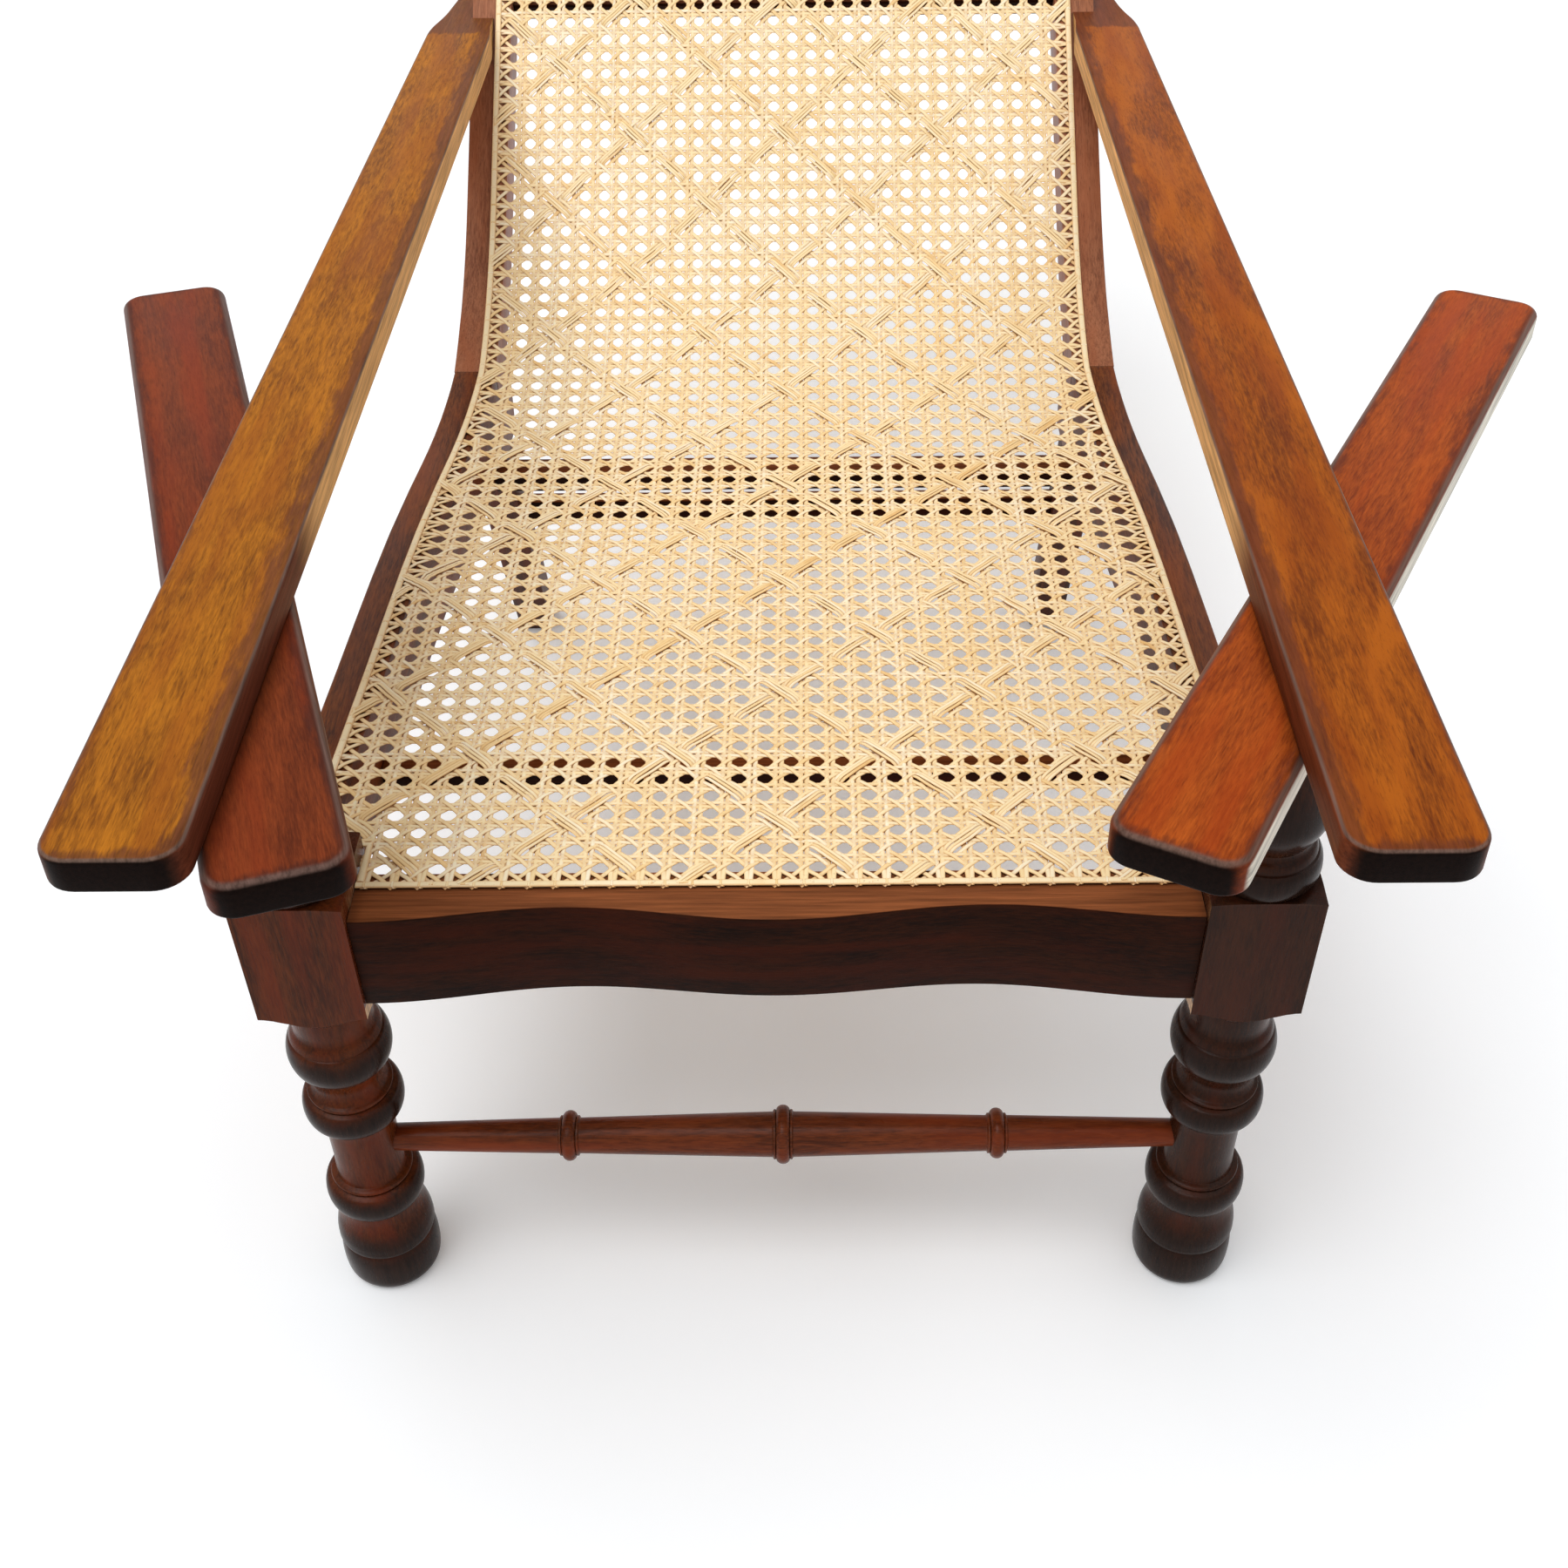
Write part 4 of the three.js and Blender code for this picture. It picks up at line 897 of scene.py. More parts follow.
def block_cutter():
    half = BLOCK_WIDTH / 2
    thin = TENON_RADIUS * MM
    corner = half * math.sqrt(2)
    low, high = BLOCK_LOW * MM, BLOCK_HIGH * MM
    lower = [(thin + (corner - thin) * share, low - POMMEL_DROP * (1 - share) ** 2)
             for share in POMMEL_SHARES]
    upper = [(corner * 1.1, low), (corner * 1.1, high - 0.4 * MM), (half, high + 2 * MM)]
    return turned([*lower, *upper], TURN_SIDES * 2)


# %% [markdown]
# The finish needs to know where the wood is thick, and which faces the stain never reached. Both
# are noted on the corners of the faces, not on the points, so that a dark face can meet a pale
# one at a crisp edge.

# %% Note the finish and build the front legs
THIN_RADIUS = 23
GIRTH_SPAN = 11.5
SEEN_BARE = 0.62
BLOCK_FACES = (285 * MM, (BLOCK_HIGH + 1.9) * MM)


def bareness(face, inward):
    """1 on a bare inner face under the rail, less above the seat, and -1 where stain covers it."""
    if face.normal.x * inward <= 0.9:
        return -1
    return 1 if face.center.z < RAIL_LOW else SEEN_BARE if face.center.z > SEAT_FRONT else -1


def note_the_finish(mesh, side):
    inward = 1 if side == "left" else -1
    girth = mesh.attributes.new("girth", "FLOAT", "CORNER")
    bare = mesh.attributes.new("bare", "FLOAT", "CORNER")
    for face in mesh.polygons:
        in_block = BLOCK_FACES[0] < face.center.z < BLOCK_FACES[1]
        squared = in_block and (abs(face.normal.z) < 0.6 or face.center.z > 340 * MM)
        paleness = bareness(face, inward) if squared else -1
        for corner in face.loop_indices:
            place = mesh.vertices[mesh.loops[corner].vertex_index].co
            thickness = (math.hypot(place.x, place.y) / MM - THIN_RADIUS) / GIRTH_SPAN
            girth.data[corner].value = -1 if squared else min(max(thickness, 0), 1)
            bare.data[corner].value = paleness


def leg_block():
    half = BLOCK_WIDTH / 2
    square = block((-half, -half, SQUARE_LOW), (half, half, SQUARE_HIGH))
    mesh = boolean(as_mesh("square", square), as_mesh("pommel", block_cutter()), "INTERSECT")
    eased = bmesh.new()
    eased.from_mesh(mesh)
    upright = [edge for edge in sharp_edges(eased) if run(edge, Z) > 40 * MM]
    bmesh.ops.bevel(eased, geom=upright, offset=BLOCK_EASE, affect="EDGES", segments=3,
                    profile=0.5, material=-1)
    return as_mesh("block", eased)


def leg_mesh(side, sign):
    mesh = boolean(leg_block(), as_mesh("lower", turned(LOWER_TURNING, TURN_SIDES)), "UNION")
    mesh = boolean(mesh, as_mesh("upper", turned(UPPER_TURNING, TURN_SIDES)), "UNION")
    top = bmesh.new()
    top.from_mesh(mesh)
    tilt = Matrix.Rotation(-ARM_SLOPE, 4, "X")
    level = Vector((0, 0, ARM_TOP)) + tilt @ Vector((0, 0, -POST_TOP_DROP))
    cut = slice_at(top, level, tilt @ Vector(UP), clear_outer=True)
    around = [item for item in cut if isinstance(item, bmesh.types.BMEdge)]
    bmesh.ops.contextual_create(top, geom=around)
    for height in (RAIL_LOW, SEAT_FRONT):
        slice_at(top, (0, 0, height), UP)
    bmesh.ops.recalc_face_normals(top, faces=top.faces)
    mesh = as_mesh("front_leg_turned_" + side, top)
    note_the_finish(mesh, side)
    mesh.transform(Matrix.Translation((sign * LEG_X, 0, 0)))
    return mesh


for side, sign in SIDES:
    fit(f"front_leg_turned_{side}", leg_mesh(side, sign), LEG_WOODS[side], "leg_wood",
        f"front_leg_{side}")

# %% [markdown]
# ## The turned stretcher
# A thin rod with three rings keeps the front legs apart. It swells gently to the middle ring. The
# legs' helpers serve again: the rod is spun on the same upright axis and then laid on its side.

# %% Build the front stretcher
STRETCHER_SIDES = 48
STRETCHER_HEIGHT = 139 * MM
STRETCHER_REACH = 284.5
STRETCHER_FACE = 268.5
STRETCHER_MIDDLE_RADIUS = 15.8
STRETCHER_END_RADIUS = 9.7
RING_PLACE = 148.5
RING_FILLET = 1.6


def stretcher_radius(place):
    taper = (STRETCHER_END_RADIUS - STRETCHER_MIDDLE_RADIUS) * abs(place) / STRETCHER_FACE
    return STRETCHER_MIDDLE_RADIUS + taper


def stretcher_ring(place, crown):
    rod = stretcher_radius(place)
    step = rod + RING_FILLET
    return [(rod, place - 7.2), (step, place - 6.4), (step, place - 5.2),
            *bead(place - 4.8, place + 4.8, rod + 0.9, rod + 0.9, crown, 10),
            (step, place + 5.2), (step, place + 6.4), (rod, place + 7.2)]


stretcher_profile = in_metres([
    (STRETCHER_END_RADIUS, -STRETCHER_REACH), (STRETCHER_END_RADIUS, -STRETCHER_FACE),
    *stretcher_ring(-RING_PLACE, 17.6),
    *stretcher_ring(0, 20.5),
    *stretcher_ring(RING_PLACE, 17.6),
    (STRETCHER_END_RADIUS, STRETCHER_FACE), (STRETCHER_END_RADIUS, STRETCHER_REACH),
])
stretcher = turned(stretcher_profile, STRETCHER_SIDES)
stretcher.transform(Matrix.Translation((0, 0, STRETCHER_HEIGHT))
                    @ Matrix.Rotation(math.pi / 2, 4, "Y"))
fit("stretcher_turned", as_mesh("stretcher_turned", stretcher), STRETCHER_WOOD, "leg_wood",
    "front_stretcher")

# %% [markdown]
# ## The front rail
# The rail's face is a shallow double wave, and its lower edge rises in the middle. It starts as a
# plain block that is cut into many short lengths, whose corners then follow the two curves. It
# could be extruded from a curved outline, but that gives only one of the curves. The long edges
# are eased last, so that the rounding follows the wave.

# %% Build the front rail
BLOCK_INNER = LEG_X - BLOCK_WIDTH / 2
RAIL_FACE = -BLOCK_WIDTH / 2 + 4 * MM
RAIL_BACK = 13 * MM
RAIL_WAVE = 12 * MM
RAIL_RISE = 5 * MM
RAIL_CUTS = 71
RAIL_EASE = 1.6 * MM


def front_rail():
    end = BLOCK_INNER - FIT
    shape = block((-end, RAIL_FACE, RAIL_LOW), (end, RAIL_BACK, SEAT_FRONT))
    long_edges = [edge for edge in shape.edges if run(edge, X) > end]
    bmesh.ops.subdivide_edges(shape, edges=long_edges, cuts=RAIL_CUTS, use_grid_fill=True)
    for vert in shape.verts:
        x, y, z = vert.co
        if y < 0:
            vert.co.y += RAIL_WAVE * (1 - math.cos(2 * math.pi * x / BLOCK_INNER)) / 2
        if z < SEAT_FRONT - RAIL_RISE:
            vert.co.z += RAIL_RISE * ((1 + math.cos(math.pi * x / BLOCK_INNER)) / 2) ** 2
        else:
            vert.co.z = seat_height(vert.co.y)
    return ease(shape, RAIL_EASE, lambda edge: run(edge, X) > MM, steps=3)


fit("rail_front_shaped", as_mesh("rail_front_shaped", front_rail()), RAIL_WOOD, "rail_wood",
    "front_rail")

# %% [markdown]
# ## Side rails and stiles
# Seen from the side, a rail is an outline that can be cut from a plank. It is thickened, sliced
# into short lengths and then bent to the bow in plan, so that its faces curve smoothly. A Curve
# modifier could bend it as well, but it would follow another line than the cane does.

# %% Build the side rails
REAR_FOOT = 785 * MM
REAR_TOP_DEPTH = 40 * MM
RAIL_HEEL = 14 * MM
LAP_STEPS = 4
SIDE_RAIL_EASE = 1.8 * MM
SIDE_RAIL_SLICES = 44


def along_line(low, high, lift, steps):
    lengths = np.linspace(low, high, steps + 1)
    return [(0.0, float(y), float(z)) for y, z in zip(*seat_line(lengths, lift))]


def rail_under(y):
    return seat_height(y) - RAIL_DEPTH


def rear_axis(height):
    return REAR_FOOT - height * math.tan(REAR_RAKE)


rear_rise = rail_under(0) - REAR_FOOT * math.tan(SEAT_SLOPE)
rear_top = rear_rise / (1 - math.tan(REAR_RAKE) * math.tan(SEAT_SLOPE))


def side_rail(sign):
    start = BLOCK_WIDTH / 2 + FIT
    lap = along_line(SEAM_LENGTH, SEAM_LENGTH + LAP_LENGTH, -STILE_DEPTH - FIT, LAP_STEPS)
    heel = rear_axis(rear_top) + REAR_TOP_DEPTH / 2 / math.cos(REAR_RAKE) + RAIL_HEEL
    start_length = (start - CANE_FRONT) / math.cos(SEAT_SLOPE)
    outline = [
        (0, *map(float, seat_line(start_length))),
        *along_line(SEAT_FLAT, SEAM_LENGTH, 0, 6),
        *lap,
        (0, max(heel, lap[-1][1] - RAIL_HEEL), rail_under(heel)),
        (0, start, rail_under(start)),
    ]
    shape = thicken(flat_face(outline), (RAIL_WIDTH, 0, 0))
    ease(shape, SIDE_RAIL_EASE,
         lambda edge: run(edge, X) < MM and far_end(edge, Y) > start + MM, steps=3)
    for y in np.linspace(start, bow_end, SIDE_RAIL_SLICES)[1:-1]:
        slice_at(shape, (0, y, 0), ALONG)
    for vert in shape.verts:
        vert.co.x = sign * (float(outer_x(vert.co.y)) - RAIL_WIDTH + vert.co.x)
    bmesh.ops.recalc_face_normals(shape, faces=shape.faces)
    return shape


for side, sign in SIDES:
    fit(f"rail_side_bowed_{side}", as_mesh("rail", side_rail(sign)), SIDE_WOOD, "rail_wood",
        f"side_rail_{side}")

# %% [markdown]
# A stile is cut from a plank in the same way. It follows the bend of the seat line at its foot,
# is straight in plan, and has a round top. Its edges are eased only above the lap with the rail,
# which has to stay square to fit.

# %% Build the back stiles
STILE_TOP = 1494 * MM
STILE_SHOULDER = STILE_TOP - STILE_DEPTH / 2
STILE_EASE = 2.2 * MM
STILE_EASED_FROM = 400 * MM
ROUND_STEPS = 14


def set_at_side(shape, sign, width):
    """Moves a board to the stiles' outer line, left or right."""
    shift = STILE_HALF_WIDTH - width if sign > 0 else -STILE_HALF_WIDTH
    shape.transform(Matrix.Translation((shift, 0, 0)))
    return shape


def back_stile(sign):
    low = SEAM_LENGTH + FIT
    radius = STILE_DEPTH / 2
    crown = []
    for step in range(1, ROUND_STEPS):
        turn = math.pi * step / ROUND_STEPS
        lift = radius * math.cos(turn) - radius
        y, z = seat_line(STILE_SHOULDER + radius * math.sin(turn), lift)
        crown.append((0, float(y), float(z)))
    front, back = (
        along_line(low, BACK_START, lift, 10) + along_line(STILE_SHOULDER, STILE_SHOULDER, lift, 0)
        for lift in (0, -STILE_DEPTH))
    shape = thicken(flat_face([*front, *crown, *reversed(back)]), (RAIL_WIDTH, 0, 0))
    ease(shape, STILE_EASE,
         lambda edge: run(edge, X) < MM and far_end(edge, Z) > STILE_EASED_FROM)
    return set_at_side(shape, sign, RAIL_WIDTH)


for side, sign in SIDES:
    fit(f"stile_back_bent_{side}", as_mesh("stile", back_stile(sign)), STILE_WOOD, "stile_wood",
        f"back_stile_{side}")

# %% [markdown]
# ## The arms
# An arm is one long board. It leans a little down to the back, tapers outside the stile and butts
# against the stile's front. All its sizes are named first, because the outline has ten corners
# and five of them are round.
#
# The corners are rounded while the outline is still one flat face. The butt leans with the stile,
# so the lower edge of the board ends further forward than the upper one. The top edge gets a wide
# rounding for the hand and the lower edge a narrow one.

# %% Set the arm's sizes
ARM_INNER = 259 * MM
ARM_FRONT_OUTER = 326.3 * MM
ARM_REAR_OUTER = 317.3 * MM
ARM_TAIL_MIDDLE = 308.5 * MM
ARM_TAIL_OUTER = 301 * MM
ARM_FRONT_REACH = 217.5 * MM
ARM_TAPER_START = 28.1 * MM
ARM_TAPER_END = 9.9 * MM
ARM_TAIL_END = 77.9 * MM
ARM_NIP = 3.4 * MM
ARM_NIP_START = 58.1 * MM
ARM_CORNER = 17 * MM
TAPER_CORNER = 14 * MM
TAIL_CORNER = 7 * MM
CORNER_TRIM = 0.98
TOP_EASE = (6 * MM, 6)
UNDER_EASE = (2 * MM, 3)
BUTT_SHARP = 57 * MM
print("arms", round(ARM_FRONT_OUTER - ARM_INNER, 4), "m wide in front")

# %% Build the arms


def arm_meets_stile(drop):
    line_y, line_z = map(float, seat_line(CANE_LENGTH))
    slope = math.tan(BACK_ANGLE)
    rise = ARM_TOP - drop - line_z + line_y * slope
    return rise / (slope + math.tan(ARM_SLOPE)) / math.cos(ARM_SLOPE)


def arm_corners(butt, notch):
    return [
        (ARM_INNER, -ARM_FRONT_REACH, ARM_CORNER),
        (ARM_FRONT_OUTER, -ARM_FRONT_REACH, ARM_CORNER),
        (ARM_REAR_OUTER, butt - ARM_TAPER_START, TAPER_CORNER),
        (ARM_TAIL_MIDDLE, butt + ARM_TAPER_END, TAPER_CORNER),
        (ARM_TAIL_OUTER, butt + ARM_TAIL_END, TAIL_CORNER),
        (notch, butt + ARM_TAIL_END, 0),
        (notch, butt - FIT, 0),
        (ARM_INNER + ARM_NIP, butt - FIT, 0),
        (ARM_INNER + ARM_NIP, butt - ARM_TAPER_START + ARM_NIP, 0),
        (ARM_INNER, butt - ARM_NIP_START, 0),
    ]


def arm_board(sign):
    butt = arm_meets_stile(0)
    notch = STILE_HALF_WIDTH + FIT
    corners = arm_corners(butt, notch)
    shape = flat_face([(x, y, 0) for x, y, _ in corners])
    for vert, (_, _, radius) in zip(list(shape.verts), corners):
        if radius:
            round_corners(shape, [vert], radius * CORNER_TRIM)
    thicken(shape, (0, 0, -ARM_THICK))
    lean = arm_meets_stile(ARM_THICK) - butt
    for vert in shape.verts:
        at_butt = abs(vert.co.y - butt + FIT) < MM and vert.co.x < notch + MM
        if at_butt and vert.co.z < -ARM_THICK / 2:
            vert.co.y += lean

    def level(edge, upper):
        at_stile = far_end(edge, Y) > butt - BUTT_SHARP and far_end(edge, X) < notch + MM
        heights = [vert.co.z > -ARM_THICK / 2 for vert in edge.verts]
        return heights == [upper, upper] and not at_stile

    for (radius, steps), upper in ((TOP_EASE, True), (UNDER_EASE, False)):
        ease(shape, radius, lambda edge: level(edge, upper), steps)
    shape.transform(Matrix.Translation((0, 0, ARM_TOP)) @ Matrix.Rotation(-ARM_SLOPE, 4, "X")
                    @ Matrix.Scale(sign, 4, SIDEWAYS))
    bmesh.ops.recalc_face_normals(shape, faces=shape.faces)
    return shape


for (side, sign), finish in zip(SIDES, (ARM_LEFT_WOOD, ARM_RIGHT_WOOD)):
    fit(f"arm_board_{side}", as_mesh("arm", arm_board(sign)), finish, "arm_wood", f"arm_{side}")

# %% [markdown]
# ## The leg rests
# A leg rest is a plain board with round corners, bored for the pin that it swings on. The board
# is made with the pin at the origin, bored, and then turned to the angle at which the rest was
# left. It rides on its own body, so that it can swing under the arm.

# %% Build the leg rests
REST_WIDTH = 69.5 * MM
REST_CORNER = 15 * MM
PIN_BORE = 9.7 * MM
BORE_SIDES = 48


def rest_mesh(side, sign):
    half = REST_WIDTH / 2
    shape = flat_face([(-half, -REST_FRONT, 0), (half, -REST_FRONT, 0),
                       (half, REST_BACK, 0), (-half, REST_BACK, 0)])
    round_corners(shape, shape.verts[:], REST_CORNER)
    thicken(shape, (0, 0, -REST_THICK))
    shape.transform(Matrix.Translation((-sign * REST_INSET, 0, 0)))

    def level(edge, upper):
        return all((vert.co.z > -REST_THICK / 2) == upper for vert in edge.verts)

    for (radius, steps), upper in ((TOP_EASE, True), (UNDER_EASE, False)):
        ease(shape, radius, lambda edge: level(edge, upper), steps)
    bore = bmesh.new()
    bmesh.ops.create_cone(bore, cap_ends=True, segments=BORE_SIDES, radius1=PIN_BORE,
                          radius2=PIN_BORE, depth=3 * REST_THICK)
    mesh = boolean(as_mesh("rest", shape), as_mesh("bore", bore), "DIFFERENCE")
    mesh.transform(Matrix.Translation((sign * LEG_X, 0, ARM_TOP))
                   @ Matrix.Rotation(-ARM_SLOPE, 4, "X")
                   @ Matrix.Translation((0, 0, -ARM_THICK - FIT))
                   @ Matrix.Rotation(REST_ANGLES[side], 4, "Z"))
    return mesh


for (side, sign), finish in zip(SIDES, (REST_LEFT_WOOD, REST_RIGHT_WOOD)):
    name = f"leg_rest_{side}"
    fit(f"rest_board_{side}", rest_mesh(side, sign), finish, "rest_wood", name, body=name)

# %% [markdown]
# ## The rest of the frame
# Two rails cross under the seat, a rail crosses behind the back, a crest rail closes its top, and
# two raked legs with a stretcher stand at the rear. They are straight pieces with their edges
# taken off. The places of the bars come from the frame's boxes, which spares the script their
# sizes.

# %% Build the cross rails and the rear legs
BAR_EASE = 1.5 * MM
BEARER_PLACE = 178 * MM
REAR_RAIL_PLACE = 593 * MM
REAR_LEG_WIDTH = 33 * MM
REAR_LEG_EASE = 2 * MM


def local_box(node):
    return [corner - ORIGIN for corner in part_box(node)]


def fit_bar(name, node, slot, half_length):
    low, high = local_box(node)
    shape = block((-half_length, low.y, low.z), (half_length, high.y, high.z))
    ease(shape, BAR_EASE, lambda edge: run(edge, X) > MM, steps=3)
    fit(name, as_mesh(name, shape), RAIL_WOOD, slot, node)


def between_rails(place):
    return float(outer_x(place)) - RAIL_WIDTH - FIT


fit_bar("bearer_eased", "seat_bearer", "rail_wood", between_rails(BEARER_PLACE))
fit_bar("rear_rail_eased", "rear_seat_rail", "rail_wood", between_rails(REAR_RAIL_PLACE))
fit_bar("rear_stretcher_eased", "rear_stretcher", "leg_wood",
        STILE_HALF_WIDTH - REAR_LEG_WIDTH - FIT)


def rear_leg(sign):
    foot = REAR_LEG_WIDTH / 2 / math.cos(REAR_RAKE)
    head = REAR_TOP_DEPTH / 2 / math.cos(REAR_RAKE)
    top = rear_axis(rear_top)
    outline = [(0, REAR_FOOT - foot, 0), (0, REAR_FOOT + foot, 0),
               (0, top + head, rail_under(top + head) - FIT),
               (0, top - head, rail_under(top - head) - FIT)]
    shape = thicken(flat_face(outline), (REAR_LEG_WIDTH, 0, 0))
    ease(shape, REAR_LEG_EASE,
         lambda edge: far_end(edge, Z) < 250 * MM or run(edge, Z) > 50 * MM, steps=3)
    return set_at_side(shape, sign, REAR_LEG_WIDTH)


for side, sign in SIDES:
    fit(f"rear_leg_eased_{side}", as_mesh("rear_leg", rear_leg(sign)), REAR_WOOD, "leg_wood",
        f"rear_leg_{side}")

# %% [markdown]
# Pieces in the plane of the back are easiest to draw flat, with X across and Y along the stiles,
# and then laid on the back by one matrix.

# %% Lay boards on the back
STILE_INNER = STILE_HALF_WIDTH - RAIL_WIDTH
BOARD_END = STILE_INNER - FIT
back_y, back_z = map(float, seat_line(CANE_LENGTH))
back_up = Vector(BACK_WAY)
back_out = Vector(SIDEWAYS).cross(back_up)
ON_BACK = (Matrix.Translation((0, back_y, back_z))
           @ Matrix((Vector(SIDEWAYS), back_up, back_out)).transposed().to_4x4())


def back_board(outline, low_lift, high_lift, radius):
    flat = flat_face([(x, length - CANE_LENGTH, low_lift) for x, length in outline])
    shape = thicken(flat, (0, 0, high_lift - low_lift))
    ease(shape, radius, lambda edge: run(edge, X) > MM
         or max(abs(vert.co.x) for vert in edge.verts) < STILE_INNER - MM)
    shape.transform(ON_BACK)
    return shape


print("top of the back's line", [round(value, 4) for value in (back_y, back_z)])

# %% [markdown]
# The back rail is a plain bar. The crest is low at the stiles and rises to a soft arch, which is
# one wave of a cosine.

# %% Build the back rail and the crest
BACK_RAIL_LOW = 1010 * MM
BACK_RAIL_HIGH = 1045 * MM
BACK_RAIL_LIFTS = (-30 * MM, -10 * MM)
BACK_RAIL_EASE = 2 * MM
CREST_ARCH = 16 * MM
CREST_LAP = 14 * MM
CREST_THICK = 30 * MM
CREST_EASE = 4 * MM
ARCH_STEPS = 32

back_rail = back_board(
    [(-BOARD_END, BACK_RAIL_LOW), (BOARD_END, BACK_RAIL_LOW),
     (BOARD_END, BACK_RAIL_HIGH), (-BOARD_END, BACK_RAIL_HIGH)],
    *BACK_RAIL_LIFTS, BACK_RAIL_EASE)
fit("back_rail_eased", as_mesh("back_rail", back_rail), RAIL_WOOD, "rail_wood", "back_cross_rail")

arch_places = [1 - 2 * step / ARCH_STEPS for step in range(ARCH_STEPS + 1)]
arch = [(BOARD_END * place, STILE_SHOULDER + CREST_ARCH * (1 + math.cos(math.pi * place)) / 2)
        for place in arch_places]
crest_low = CANE_LENGTH - CREST_LAP
crest = back_board([(-BOARD_END, crest_low), (BOARD_END, crest_low), *arch],
                   -CREST_THICK, 0, CREST_EASE)
fit("crest_shaped", as_mesh("crest", crest), CREST_WOOD, "stile_wood", "crest_rail")

# %% [markdown]
# ## The cane
# The panel is woven by hand through holes in the frame. Pairs of strands run up and across,
# single strands run along both diagonals, and broad bands of three strands make the large
# diamonds. A picture of cane on a sheet would be quick, but it has no thickness, and cane is seen
# here from close by and through its holes. So each strand is drawn on the flat pattern, in units
# of one cell, with its height following what it passes over and under.
#
# The side frames bow, and the cells keep their width. So the pattern loses a column at a time
# towards the back, and the last two columns before an edge are pushed to meet it. Rows and
# columns also wander by a fraction of a millimetre, as hand-drilled holes do.

# %% Define the pattern's cells
FRONT_COLUMNS = 15
CELL_X = 520 * MM / (2 * FRONT_COLUMNS + 1)
CELL_Y = 17 * MM
ROWS = round(CANE_LENGTH / CELL_Y)
CANE_MARGIN = 21.5 * MM
CANE_LIFT = 1.05 * MM
BLOCK_GAP = 0.6 * MM
BLOCK_EDGE = (BLOCK_INNER - BLOCK_GAP) / CELL_X
BLOCK_ROW = (BLOCK_WIDTH / 2 + BLOCK_GAP - CANE_FRONT) / CELL_Y
PULLED_COLUMNS = 2
EDGE_INSET = 0.07
TINY = 1e-6
RANDOM = random.Random(7)
COLUMN_START = 20
COLUMN_SHIFTS = [RANDOM.gauss(0, 0.028) for _ in range(48)]
ROW_SHIFTS = [RANDOM.gauss(0, 0.026) for _ in range(ROWS + 4)]
PAIR_TONES = (0, 0.8)
SINGLE_TONES = (0.1, 1)


def edge_columns(row):
    y, _ = seat_line(np.asarray(row) * CELL_Y)
    return (outer_x(y) - CANE_MARGIN) / CELL_X


def whole_edge(row):
    return np.floor(edge_columns(row)) + 0.5


def soft_edge(row):
    shifts = np.linspace(-1, 1, 9)
    return np.mean([whole_edge(np.asarray(row) + shift) for shift in shifts], axis=0)


def to_panel(columns, rows):
    columns = np.asarray(columns, float)
    rows = np.asarray(rows, float)
    edge = soft_edge(rows)
    true_edge = edge_columns(rows)
    reach = np.clip((np.abs(columns) - edge + PULLED_COLUMNS) / PULLED_COLUMNS, 0, 1)
    wander = np.interp(columns + COLUMN_START, range(len(COLUMN_SHIFTS)), COLUMN_SHIFTS)
    x = columns + np.sign(columns) * reach * (true_edge - edge) + wander * (1 - reach)
    x = np.clip(x, EDGE_INSET - true_edge, true_edge - EDGE_INSET)
    calm = np.clip(rows, 0, 1) * np.clip(ROWS - rows, 0, 1)
    y = rows + np.interp(rows, range(len(ROW_SHIFTS)), ROW_SHIFTS) * calm
    return x * CELL_X, y * CELL_Y


def inside(column, row):
    if not -TINY <= row <= ROWS + TINY:
        return False
    if row < BLOCK_ROW and abs(column) > FRONT_COLUMNS + 0.5 + TINY:
        return False
    return abs(column) <= float(whole_edge(row)) + TINY


print("cells across the back", 2 * float(whole_edge(ROWS)), "and in length", ROWS)

# %% [markdown]
# A strand is a curve, and the curve's bevel object gives it the section of split cane: flat below
# and slightly roofed on top. One curve object holds a whole set of strands, which is far quicker
# than a mesh for each. Near the edges the strands lie on wood, and can't dip as deep.

# %% Define a strand's section
SECTION = [(-0.5, -0.42), (0.5, -0.42), (0.5, 0.02), (0.0, 0.58), (-0.5, 0.02)]
OVER_WOOD = 0.45 * MM
DEEP = 0.6 * MM
WOOD_MARGIN = 2 * MM


def section_curve(width, thickness):
    data = bpy.data.curves.new("section", "CURVE")
    data.dimensions = "2D"
    spline = data.splines.new("POLY")
    spline.points.add(len(SECTION) - 1)
    for point, (across, up) in zip(spline.points, SECTION):
        point.co = (across * width, up * thickness, 0, 1)
    spline.use_cyclic_u = True
    return place_object("section", data)


def over_wood(x, length):
    y, _ = seat_line(length)
    near_side = np.abs(x) > outer_x(y) - RAIL_WIDTH - WOOD_MARGIN
    near_front = length < RAIL_BACK - CANE_FRONT + WOOD_MARGIN
    return near_side | near_front | (length > CANE_LENGTH - CREST_LAP - WOOD_MARGIN)


# %% [markdown]
# Real cane is split by hand, so each strand has its own tone. Two attributes carry what the
# material reads: the length along the strand, its tone and how deep it dips are one, and the
# distance from its middle line is the other. The curve's mesh lists the end caps before the
# strands, last strand first, so their values are put in that order. The caps share no points with
# the strands, and are welded to them to close the mesh. The flat mesh is then bent onto the seat
# line.

# %% Define how strands become ribbons


